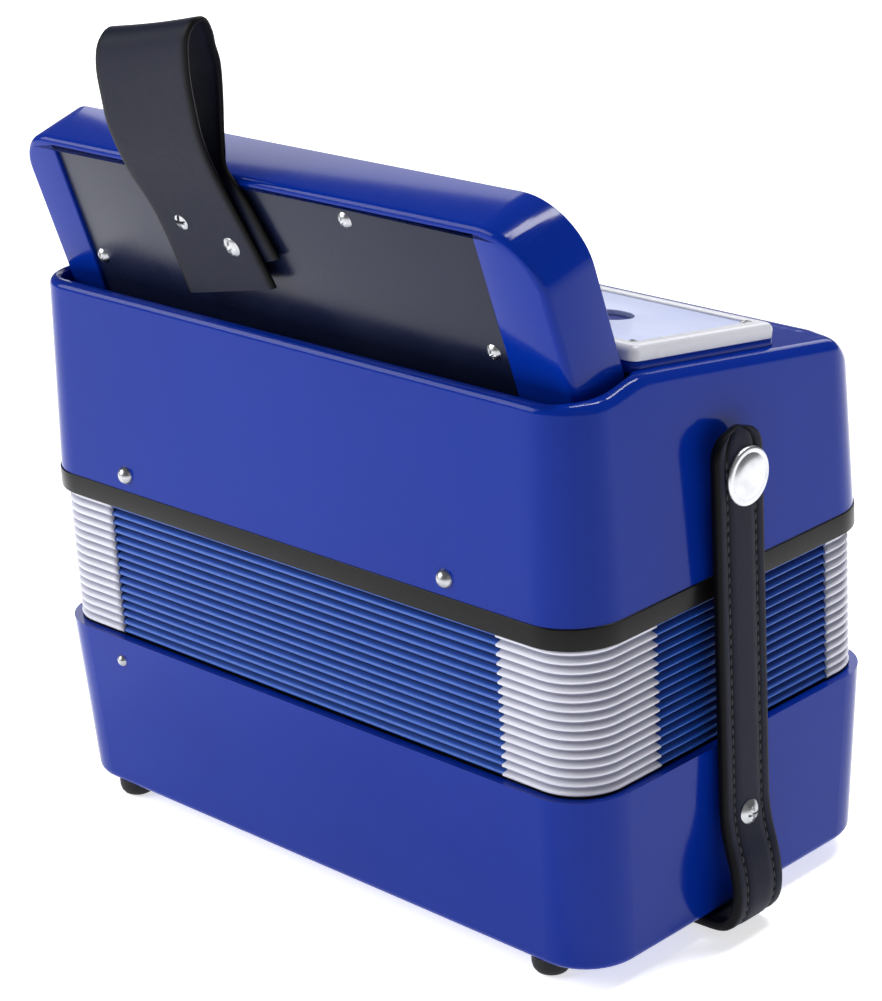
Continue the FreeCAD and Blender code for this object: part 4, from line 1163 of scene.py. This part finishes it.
@dataclass
class GrilleBoss:
    """The step of the blue case that carries the grille frame."""

    finishes: Looks
    slope: float
    half_x: float = 110.0
    near: float = -21.5
    near_z: float = 181.95
    wide: float = 61.4
    corner: float = 3.0
    least_corner: float = 1.5
    inner_bar: float = 7.5
    high: float = 2.15
    sunk: float = -1.2
    steps: tuple[int, int] = (8, 20)  # in each corner and along half a side

    def _ring(self, inset: float, lift: float) -> list[Point]:
        """Points round the step, inset from its outline and lifted above the slope."""
        half_y = self.wide / 2
        shape = Outline(self.half_x - inset, half_y - inset,
                        max(self.least_corner, self.corner - inset), self.near + half_y)
        return [(x, y, self.near_z - self.slope * (y - self.near) - self.high + lift)
                for x, y, _, _ in shape.loop(self.steps[0], (), self.steps[1])]

    def build(self) -> Object:
        """Make the step, riding on the treble body."""
        levels = [(0.0, self.sunk), (0.0, 0.3), (0.15, self.high - 0.35), (0.45, self.high),
                  (self.inner_bar, self.high), (self.inner_bar, self.sunk)]
        rings = [self._ring(inset, lift) for inset, lift in levels]
        count = len(rings[0])
        points = [p for ring in rings for p in ring]
        faces = ring_faces(len(rings), count)
        last = (len(rings) - 1) * count
        faces += [(last + i, last + (i + 1) % count, (i + 1) % count, i) for i in range(count)]
        step = mesh_object("grille_step", points, faces, self.finishes[Dressing.BLUE])
        sharpened(outward(step), 40.0)
        return stands_for(step, "treble", "case_plastic", "treble_case")


@dataclass
class TrebleShelf:
    """The floor of the trough, under the neck."""

    finishes: Looks
    shape: Outline = field(default_factory=lambda: Outline(112.4, 11.3, 10.5, -40.1))
    low_z: float = 158.2
    high_z: float = 161.0
    edge: float = 0.3
    steps: tuple[int, int] = (8, 12)  # in each corner and along half a side

    def build(self) -> Object:
        """Make the shelf, riding on the treble body."""
        levels = ((self.edge, self.low_z), (0.0, self.low_z + self.edge),
                  (0.0, self.high_z - self.edge), (self.edge, self.high_z))
        loop = self.shape.loop(self.steps[0], (), self.steps[1])
        points = [(x - nx * inset, y - ny * inset, z) for inset, z in levels
                  for x, y, nx, ny in loop]
        faces = ring_faces(len(levels), len(loop)) + end_faces(len(levels), len(loop))
        shelf = mesh_object("trough_floor", points, faces, self.finishes[Dressing.BLUE])
        sharpened(outward(shelf), 50.0)
        return stands_for(shelf, "treble", "case_plastic", "treble_case")


@dataclass
class Bellows:
    """Sixteen folds of card and cloth, with leather corners."""

    finishes: Looks
    outline: Outline = field(default_factory=lambda: Outline(115.4, 64.65, 15.9, 10.5))
    low: float = 61.5
    high: float = 107.4
    folds: int = 16
    deep: float = 2.7
    pinch: float = 1.35
    samples: int = 8
    step: float = 2.6
    cloth_thick: float = 0.8
    leather_thick: float = 0.35
    leather_sink: float = 0.55
    leather_proud: float = 0.45
    leather_steps: int = 22
    white_x: float = 84.5
    white_near_y: float = -33.0
    white_far_y: float = 44.0
    tooth: float = 0.35

    def _levels(self) -> list[tuple[float, float]]:
        """The height of each row of points and how deep it lies, from 0 to 1."""
        pitch = (self.high - self.low) / self.folds
        rows = [(self.low, 1.0)]
        for i in range(1, self.folds * self.samples):
            share = (i / self.samples + 0.5) % 1.0
            sink = (math.sin(math.pi * share) ** 2) ** self.pinch
            rows.append((self.low + pitch * i / self.samples, sink))
        return rows + [(self.high, 1.0)]

    def cloth(self) -> Object:
        """The blue folds."""
        run = self.outline.run(self.step)
        levels = self._levels()
        points = [(x - nx * self.deep * sink, y - ny * self.deep * sink, z)
                  for z, sink in levels for x, y, nx, ny in run]
        made = mesh_object("bellows_folds", points, ring_faces(len(levels), len(run)),
                           self.finishes[Dressing.FOLDS])
        # How deep each point lies, which the cloth's finish turns into painted shade.
        stored(made, "deep", [sink for _, sink in levels for _ in run])
        return self._joined(made, self.cloth_thick)

    def _spans(self) -> dict[str, tuple[float, float]]:
        """Where each leather corner starts and ends along the outline."""
        outline = self.outline
        flat_x, flat_y = outline.half_x - outline.radius, outline.half_y - outline.radius
        bend = math.pi / 2 * outline.radius
        far_right = flat_y + bend / 2
        far_left = flat_y + bend + 2 * flat_x + bend / 2
        near_left = far_left + bend + 2 * flat_y
        near_right = near_left + bend + 2 * flat_x
        along_x = flat_x - self.white_x + bend / 2
        near_side = self.white_near_y + flat_y + bend / 2
        far_side = flat_y - self.white_far_y + bend / 2
        return {"far_right": (far_right - far_side, far_right + along_x),
                "far_left": (far_left - along_x, far_left + far_side),
                "near_left": (near_left - near_side, near_left + along_x),
                "near_right": (near_right - along_x, near_right + near_side)}

    def corners(self) -> list[Object]:
        """The pale leather on each upright corner."""
        made = []
        count, levels = self.leather_steps, self._levels()
        for name, (start, end) in self._spans().items():
            points = []
            for z, sink in levels:
                bite = self.tooth * (1 - 2 * sink)
                inset = self.deep * sink * self.leather_sink - self.leather_proud
                for i in range(count + 1):
                    s = start - bite + (end - start + 2 * bite) * i / count
                    x, y, nx, ny = self.outline.at(s)
                    points.append((x - nx * inset, y - ny * inset, z))
            patch = mesh_object("bellows_corner_" + name, points,
                                ring_faces(len(levels), count + 1, closed=False),
                                self.finishes[Dressing.CORNERS])
            # How deep each point lies, which the corner finish turns into painted shade.
            stored(patch, "deep", [sink for _, sink in levels for _ in range(count + 1)])
            made.append(self._joined(patch, self.leather_thick))
        return made

    def _joined(self, obj: Object, thick: float) -> Object:
        """Give cloth its thickness and hide the imported bellows.

        Args:
            obj: A single skin that faces any way.
            thick: Its thickness, in millimetres.

        Returns:
            The same object.
        """
        total = 0.0
        centre = Vector((0.0, self.outline.middle_y * MM, 0.0))
        for poly in obj.data.polygons:
            away = poly.center - centre
            total += (poly.normal.x * away.x + poly.normal.y * away.y) * poly.area
        if total < 0:
            obj.data.flip_normals()
        all_smooth(walled(obj, thick).data)
        self.low * MM
        self.high * MM
        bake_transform(obj)
        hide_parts("bellows")
        return obj


class Side(Enum):
    """The two ends of the accordion."""

    RIGHT = 1
    LEFT = -1


@dataclass
class EndStrap:
    """A padded strap that holds the bellows shut and carries on under the bass case."""

    finishes: Looks
    placer: Placer
    side: Side
    body_x: float = 117.5
    middle_y: float = 6.8
    wide: float = 20.4
    thick: float = 3.5
    tip_z: float = 158.0
    tip_long: float = 9.0
    tip_power: float = 2.4
    tip_least: float = 0.12
    step: float = 1.6
    hinge_z: float = 45.2
    hinge_reach: float = 5.0
    groove: float = 6.1
    groove_up: float = 0.70
    stitch: tuple[float, float, float] = (3.1, 2.3, 0.75)  # spacing, length and thickness
    # How far out from the end wall, and how high, the strap's middle runs.
    line: tuple[tuple[float, float], ...] = (
        (4.35, 158.0), (4.35, 130.0), (4.35, 100.0), (4.35, 75.0), (4.35, 55.0), (4.35, 43.1),
        (4.5, 39.0), (5.6, 32.0), (7.9, 23.0), (8.7, 15.0), (7.4, 8.5), (3.0, 4.2), (-6.0, 3.2),
        (-20.0, 3.2), (-60.0, 3.2), (-117.5, 3.2))

    def _section(self, half: float) -> list[Point]:
        """The strap's cut end as places across it, heights out of it and how dark each point is.

        Args:
            half: Half its width there.

        Returns:
            Rows of the place across, the height and the darkness, going round.
        """
        top = self.thick / 2
        squeeze = half / (self.wide / 2)
        # The third number darkens the leather: at the edges, and as painted shade in the stitch
        # grooves and on the underside against the case.
        outer = [(-1.0, 0.1, 1.0), (-0.985, 0.62, 1.0), (-0.94, 0.86, 0.9), (-0.86, 0.92, 0.15),
                 (-0.72, 0.90, 0.0), (-0.645, 0.80, 0.8), (-0.60, 0.58, 1.0), (-0.555, 0.80, 0.8),
                 (-0.48, 0.97, 0.0), (-0.3, 1.0, 0.0), (0.0, 1.0, 0.0)]
        outer += [(-a, b, c) for a, b, c in reversed(outer[:-1])]
        inner = [(0.985, -0.62, 1.0), (0.94, -0.92, 0.6), (0.5, -1.0, 0.2), (0.0, -1.0, 0.2),
                 (-0.5, -1.0, 0.2), (-0.94, -0.92, 0.6), (-0.985, -0.62, 1.0)]
        return [(a * half, b * top * (0.55 + 0.45 * squeeze), c) for a, b, c in outer + inner]

    def _stations(self) -> list[tuple[Vector, Vector, float]]:
        """Places down the middle of the strap, the way out of it and half its width."""
        path = smooth_line([(x, z, 0.0) for x, z in self.line], self.step)
        sign, last, out = self.side.value, len(path) - 1, []
        for i, p in enumerate(path):
            ahead = path[min(i + 1, last)] - path[max(i - 1, 0)]
            away = Vector((-ahead.y, ahead.x, 0)).normalized()
            half = self.wide / 2
            left = 1 - (self.tip_z - p.y) / self.tip_long
            if left > 0:
                half *= max(self.tip_least, math.sqrt(max(0.0, 1 - left ** self.tip_power)))
            out.append((Vector((sign * (self.body_x + p.x), self.middle_y, p.y)),
                        Vector((sign * away.x, 0, away.y)), half))
        return out

    def build(self) -> list[Object]:
        """Make the strap and its stitches, in place of the imported strap."""
        name = "strap_" + self.side.name.lower()
        stations = self._stations()
        points, dark = [], []
        for place, away, half in stations:
            for across, up, shade in self._section(half):
                points.append(place + Vector((0, across, 0)) + away * up)
                dark.append(shade)
        count = len(points) // len(stations)
        faces = ring_faces(len(stations), count) + end_faces(len(stations), count)
        strap = mesh_object("leather_" + name, points, faces, self.finishes[Dressing.LEATHER])
        stored(strap, "edge", dark)
        sharpened(outward(strap, STRAP_MERGE), 48.0)
        sunk = self.thick / 2 * self.groove_up
        lines = [[place + Vector((0, sign * self.groove, 0)) + away * sunk
                  for place, away, half in stations
                  if half > self.wide / 2 - 0.1 and place.z < self.tip_z - self.tip_long]
                 for sign in (-1, 1)]
        sewn = self.placer.stitches("stitches_" + name, lines, *self.stitch)
        nodes = ["bellows_" + name] + (["hand_strap"] if self.side is Side.RIGHT else [])
        for piece in (strap, sewn):
            (self.hinge_z - self.hinge_reach) * MM
            (self.hinge_z + self.hinge_reach) * MM
            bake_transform(piece)
            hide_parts(*nodes)
        return [strap, sewn]


@dataclass
class SnapCap:
    """The plated cap of a press stud."""

    finishes: Looks
    side: Side
    x: float = 123.45
    y: float = 9.0
    z: float = 143.0
    round_steps: int = 56
    profile: tuple[tuple[float, float], ...] = (
        (0.0, 2.3), (2.4, 2.28), (4.6, 2.12), (6.0, 1.8), (6.6, 1.45), (6.95, 1.25), (7.35, 1.3),
        (8.0, 1.35), (8.45, 1.15), (8.7, 0.8), (8.75, 0.4), (8.7, 0.0), (0.0, 0.0))

    def build(self) -> Object:
        """Make the cap, riding on its strap."""
        end, sign = self.side.name.lower(), self.side.value
        cap = lathe("plated_snap_cap_" + end, self.profile, Vector((sign * self.x, self.y, self.z)),
                    Vector((sign, 0, 0)), self.finishes[Dressing.CAP], self.round_steps)
        return stands_for(cap, "strap_" + end, "cap_plastic", "snap_cap_" + end)


@dataclass
class ThumbStrap:
    """The leather loop on the back of the neck."""

    finishes: Looks
    thick: float = 2.0
    lean: float = 16.8
    face_y: float = -43.5
    rim_z: float = 177.2
    bow: float = 0.5
    steps: int = 4
    # Its two edges in the neck's leaning frame: along X, up the neck and out of its face.
    chin_edge: tuple[Point, ...] = (
        (-42.2, 6.8, -3), (-42.9, 16, -3), (-43.7, 24.4, -3), (-44.7, 37, -4), (-46.6, 48.7, -6),
        (-45.6, 59, -8), (-44.5, 68, -9), (-42.2, 77, -9.4), (-40.3, 85.3, -9.2),
        (-38.7, 91.4, -7.8), (-38.0, 94.2, -5.2), (-38.3, 94.6, -2.2), (-39.2, 92.2, 0.6),
        (-40.6, 86.8, 2.6), (-42.4, 80, 4), (-44.0, 73.0, 5), (-45.6, 65.0, 5), (-46.4, 57, 4),
        (-46.6, 51, 2), (-46.4, 46.5, 0.2), (-46.0, 43.5, -0.8), (-45.4, 38.5, -1),
        (-44.7, 31.5, -1), (-43.9, 25, -1), (-43.2, 18, -1), (-42.4, 10.5, -1))
    far_edge: tuple[Point, ...] = (
        (-0.6, 16.0, -3), (-2.0, 22.5, -3), (-3.8, 29.5, -3), (-6.6, 45, -4), (-6.3, 56, -6),
        (-4.3, 67, -8), (-1.5, 77.5, -9), (1.1, 87, -9.4), (3.2, 94, -9.2), (4.6, 99.8, -8),
        (5.8, 103.0, -5.6), (6.3, 103.4, -2.8), (5.8, 101.6, -0.8), (3.9, 96.6, 1.0),
        (1.2, 92.1, 2.5), (-1.1, 86.3, 4), (-3.9, 80.7, 5), (-7.1, 72.3, 5), (-9.3, 64.5, 4),
        (-9.8, 57.5, 2), (-9.3, 53.6, 0.3), (-6.5, 50.0, -0.8), (-3.5, 45.1, -1), (-1.3, 39, -1),
        (0.6, 32.6, -1), (2.9, 25.5, -1))

    def _place(self, spot: Sequence[float]) -> Vector:
        """A point of the neck's leaning frame in the accordion's frame."""
        t = math.radians(self.lean)
        x, up, deep = spot
        return Vector((x, self.face_y + deep * math.cos(t) - up * math.sin(t),
                       self.rim_z + deep * math.sin(t) + up * math.cos(t)))

    def build(self) -> Object:
        """Make the loop, riding on the treble body."""
        left = [self._place(p) for p in spline(self.chin_edge, self.steps)]
        right = [self._place(p) for p in spline(self.far_edge, self.steps)]
        across = [0.0, 0.006, 0.025, 0.06, 0.12, 0.22, 0.36, 0.5, 0.64, 0.78, 0.88, 0.94, 0.975,
                  0.994, 1.0]
        lift = [0.1, 0.62, 0.93] + [1.0] * 9 + [0.93, 0.62, 0.1]
        shade = [1.0, 1.0, 0.85, 0.1] + [0.0] * 7 + [0.1, 0.85, 1.0, 1.0]
        row = list(zip(across, lift, shade))
        points, dark, last = [], [], len(left) - 1
        for i, (a, b) in enumerate(zip(left, right)):
            after, before = min(i + 1, last), max(i - 1, 0)
            ahead = left[after] + right[after] - left[before] - right[before]
            normal = ahead.cross(b - a).normalized()
            crown = self.bow * math.sin(math.pi * i / last)
            for sign, order in ((1, row), (-1, row[::-1])):
                for s, up, tone in order:
                    bow = crown * 4 * s * (1 - s)
                    points.append(a.lerp(b, s) + normal * (sign * self.thick / 2 * up + bow))
                    dark.append(tone)
        count = 2 * len(row)
        faces = ring_faces(len(left), count) + end_faces(len(left), count)
        strap = mesh_object("leather_thumb_strap", points, faces, self.finishes[Dressing.LEATHER])
        stored(strap, "edge", dark)
        sharpened(outward(strap, STRAP_MERGE), 60.0)
        return stands_for(strap, "treble", "strap_leather", "thumb_strap")


@dataclass
class Feet:
    """Four domed rubber feet under the bass case."""

    finishes: Looks
    placer: Placer
    half_x: float = 93.5
    half_y: float = 58.25
    middle_y: float = 10.5
    round_steps: int = 32
    profile: tuple[tuple[float, float], ...] = (
        (0.0, 0.0), (2.0, 0.0), (3.6, 0.25), (4.8, 0.9), (5.6, 2.0), (5.95, 3.4), (6.0, 6.3),
        (0.0, 6.3))

    def build(self) -> Object:
        """Make the feet, riding on the bass body."""
        master = lathe("foot_master", self.profile, Vector((0, 0, 0)), Vector((0, 0, 1)),
                       self.finishes[Dressing.RUBBER], self.round_steps)
        places = [Vector((sx * self.half_x, self.middle_y + sy * self.half_y, 0.0))
                  for sx in (-1, 1) for sy in (-1, 1)]
        feet = self.placer.copies("rubber_feet", master, places, Dressing.RUBBER)
        return stands_for(feet, "bass", "foot_rubber", "feet")


@dataclass
class Softened:
    """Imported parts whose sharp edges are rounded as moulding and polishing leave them."""

    finishes: Looks
    white_key: tuple[float, Dressing, str] = (0.55, Dressing.WHITE_KEY, "white_key")
    black_key: tuple[float, Dressing, str] = (0.8, Dressing.BLACK_KEY, "black_key")
    parts: tuple[tuple[str, float, Dressing, str], ...] = (
        ("neck", 0.5, Dressing.BLUE, "neck_plastic"),
        ("neck_back_plate", 0.25, Dressing.PANEL, "panel_plastic"),
        ("grille_frame", 0.5, Dressing.PALE, "frame_plastic"),
        ("grille_plate", 0.25, Dressing.PEARL, "pearl"),
        ("treble_trim", 0.35, Dressing.BLACK, "trim_plastic"))

    def build(self) -> list[Object]:
        """Make the rounded parts, each riding on its own body."""
        made = []
        for body in FRAME["bodies"]:
            if body.startswith("key_") and body in FRAME["nodes"]:
                white, black = self.white_key, self.black_key
                made.append(self._one(body, body, *(white if body.endswith("white") else black)))
        return made + [self._one(node, "treble", *rest) for node, *rest in self.parts]

    def _one(self, node: str, body: str, width: float, look: Dressing, slot: str) -> Object:
        """Round one part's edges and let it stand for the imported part."""
        piece = softened(node, node + "_rounded", width, self.finishes[look])
        return stands_for(piece, body, slot, node)


SLOT_LOOKS = {
    "case_plastic": Dressing.BLUE, "trim_plastic": Dressing.BLACK, "neck_plastic": Dressing.BLUE,
    "panel_plastic": Dressing.PANEL, "pearl": Dressing.PEARL, "frame_plastic": Dressing.PALE,
    "cloth": Dressing.CLOTH, "screw_steel": Dressing.CHROME, "chrome_metal": Dressing.CHROME,
    "cap_plastic": Dressing.CAP, "brass_metal": Dressing.BRASS, "strap_leather": Dressing.LEATHER,
    "bellows_card": Dressing.FOLDS, "pine": Dressing.WOOD, "reed_metal": Dressing.REED,
    "axle_steel": Dressing.STEEL, "white_key": Dressing.WHITE_KEY, "black_key": Dressing.BLACK_KEY,
    "button_plastic": Dressing.PALE, "foot_rubber": Dressing.RUBBER,
}


def dress_packed(finishes: Looks) -> None:
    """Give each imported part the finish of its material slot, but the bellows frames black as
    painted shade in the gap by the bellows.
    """
    for name, obj in FRAME["nodes"].items():
        for slot in obj.material_slots:
            old = slot.material.name.split(".")[0] if slot.material else ""
            look = SLOT_LOOKS.get(old)
            if look is None:
                LOG.warning("%s has an unknown slot %s", name, old)
                look = Dressing.BLACK
            # The bellows frames are painted black: a dark sheet standing for the shade between the
            # bellows and the case rims.
            slot.material = finishes[Dressing.BLACK if name.startswith("bellows_frame") else look]


@dataclass
class Studio:
    """A pale floor, soft lamps and the camera."""

    place: Point = (0.617864, -0.590460, 0.435535)
    azimuth: float = 45.844
    elevation: float = 20.870
    roll: float = -3.474
    lens: float = 106.31
    sensor: float = 36.0
    clip: tuple[float, float] = (0.01, 50.0)
    room: float = 0.17
    backdrop: float = 1.0
    glow: float = 0.66
    floor_half: float = 6.0
    target: Point = (0.0, 0.01, 0.13)
    # Each lamp's name, place, width, height and power.
    lights: tuple[tuple[str, Point, float, float, float], ...] = (
        ("key", (-1.3, -1.4, 1.1), 1.6, 1.2, 36.0), ("fill", (1.9, -0.5, 0.8), 1.4, 1.2, 1.0),
        ("over", (0.25, 0.75, 1.9), 0.32, 1.1, 29.0), ("rear", (-0.9, 1.3, 0.9), 1.6, 0.8, 10.0))

    def camera(self) -> None:
        """Stand the camera where it looks along its line."""
        a, e, r = (math.radians(v) for v in (self.azimuth, self.elevation, self.roll))
        back = Vector((math.sin(a) * math.cos(e), -math.cos(a) * math.cos(e), math.sin(e)))
        right = Vector((math.cos(a), math.sin(a), 0))
        up = back.cross(right)
        across = math.cos(r) * right + math.sin(r) * up
        above = -math.sin(r) * right + math.cos(r) * up
        data = bpy.data.cameras.new("camera")
        data.sensor_width, data.lens = self.sensor, self.lens
        data.clip_start, data.clip_end = self.clip
        camera = bpy.data.objects.new("camera", data)
        bpy.context.scene.collection.objects.link(camera)
        turn = Matrix((across, above, back)).transposed().to_4x4()
        camera.matrix_world = Matrix.Translation(Vector(self.place)) @ turn
        bpy.context.scene.camera = camera

    def floor(self) -> None:
        """A wide pale floor."""
        p = Painter("studio_floor")
        tone = p.noise(2.0, 3.0)
        pale = p.finish(Base_Color=p.blend(tone, rgb(250, 250, 251), rgb(246, 246, 248)),
                        Roughness=0.75 + tone * 0.05, Emission_Color=(1.0, 1.0, 1.0, 1.0),
                        Emission_Strength=self.glow)
        size = self.floor_half
        ends = [(-size, -size, 0), (size, -size, 0), (size, size, 0), (-size, size, 0)]
        mesh_object("floor", ends, [(0, 1, 2, 3)], pale, unit=1.0)

    def lamps(self) -> None:
        """A soft key, a weak fill, a strip overhead and a low rear lamp, aimed at the object."""
        for name, place, wide, high, power in self.lights:
            data = bpy.data.lights.new(name, "AREA")
            data.shape = "RECTANGLE"
            data.size, data.size_y, data.energy = wide, high, power
            lamp = bpy.data.objects.new(name, data)
            bpy.context.scene.collection.objects.link(lamp)
            lamp.location = place
            lamp.rotation_mode = "QUATERNION"
            aim = Vector(self.target) - Vector(place)
            lamp.rotation_quaternion = aim.to_track_quat("-Z", "Y")

    def room_light(self) -> None:
        """A dim white room that the camera sees as plain white."""
        world = bpy.data.worlds.new("white_room")
        world.use_nodes = True
        tree = world.node_tree
        shade = tree.nodes.get("Background")
        shade.inputs["Color"].default_value = (1.0, 1.0, 1.0, 1.0)
        path = tree.nodes.new("ShaderNodeLightPath")
        strength = tree.nodes.new("ShaderNodeMapRange")
        strength.inputs["To Min"].default_value = self.room
        strength.inputs["To Max"].default_value = self.backdrop
        tree.links.new(path.outputs["Is Camera Ray"], strength.inputs["Value"])
        tree.links.new(strength.outputs["Result"], shade.inputs["Strength"])
        bpy.context.scene.world = world
        bpy.context.scene.view_settings.view_transform = "Standard"


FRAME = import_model()


def main() -> None:
    """Build the accordion in order and report each piece."""
    logging.basicConfig(level=logging.INFO, format="%(name)s: %(message)s")
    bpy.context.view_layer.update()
    studio = Studio()
    studio.camera()
    finishes = make_finishes()
    dress_packed(finishes)
    placer = Placer(finishes)
    case = TrebleCase(finishes)
    bellows = Bellows(finishes)
    steps: list[tuple[str, Callable[[], Any]]] = [
        ("treble case", case.build),
        ("grille step", GrilleBoss(finishes, case.slope).build),
        ("shelf", TrebleShelf(finishes).build),
        ("rounded parts", Softened(finishes).build),
        ("bellows cloth", bellows.cloth),
        ("bellows corners", bellows.corners),
        ("right strap", EndStrap(finishes, placer, Side.RIGHT).build),
        ("left strap", EndStrap(finishes, placer, Side.LEFT).build),
        ("right cap", SnapCap(finishes, Side.RIGHT).build),
        ("left cap", SnapCap(finishes, Side.LEFT).build),
        ("thumb strap", ThumbStrap(finishes).build),
        ("feet", Feet(finishes, placer).build),
    ]
    for name, build in steps:
        made = build()
        made = made if isinstance(made, list) else [made]
        LOG.info("%s: %s", name, ", ".join(f"{o.name} {len(o.data.polygons)}" for o in made))
    studio.floor()
    studio.lamps()
    studio.room_light()


if __name__ == "__main__":
    main()
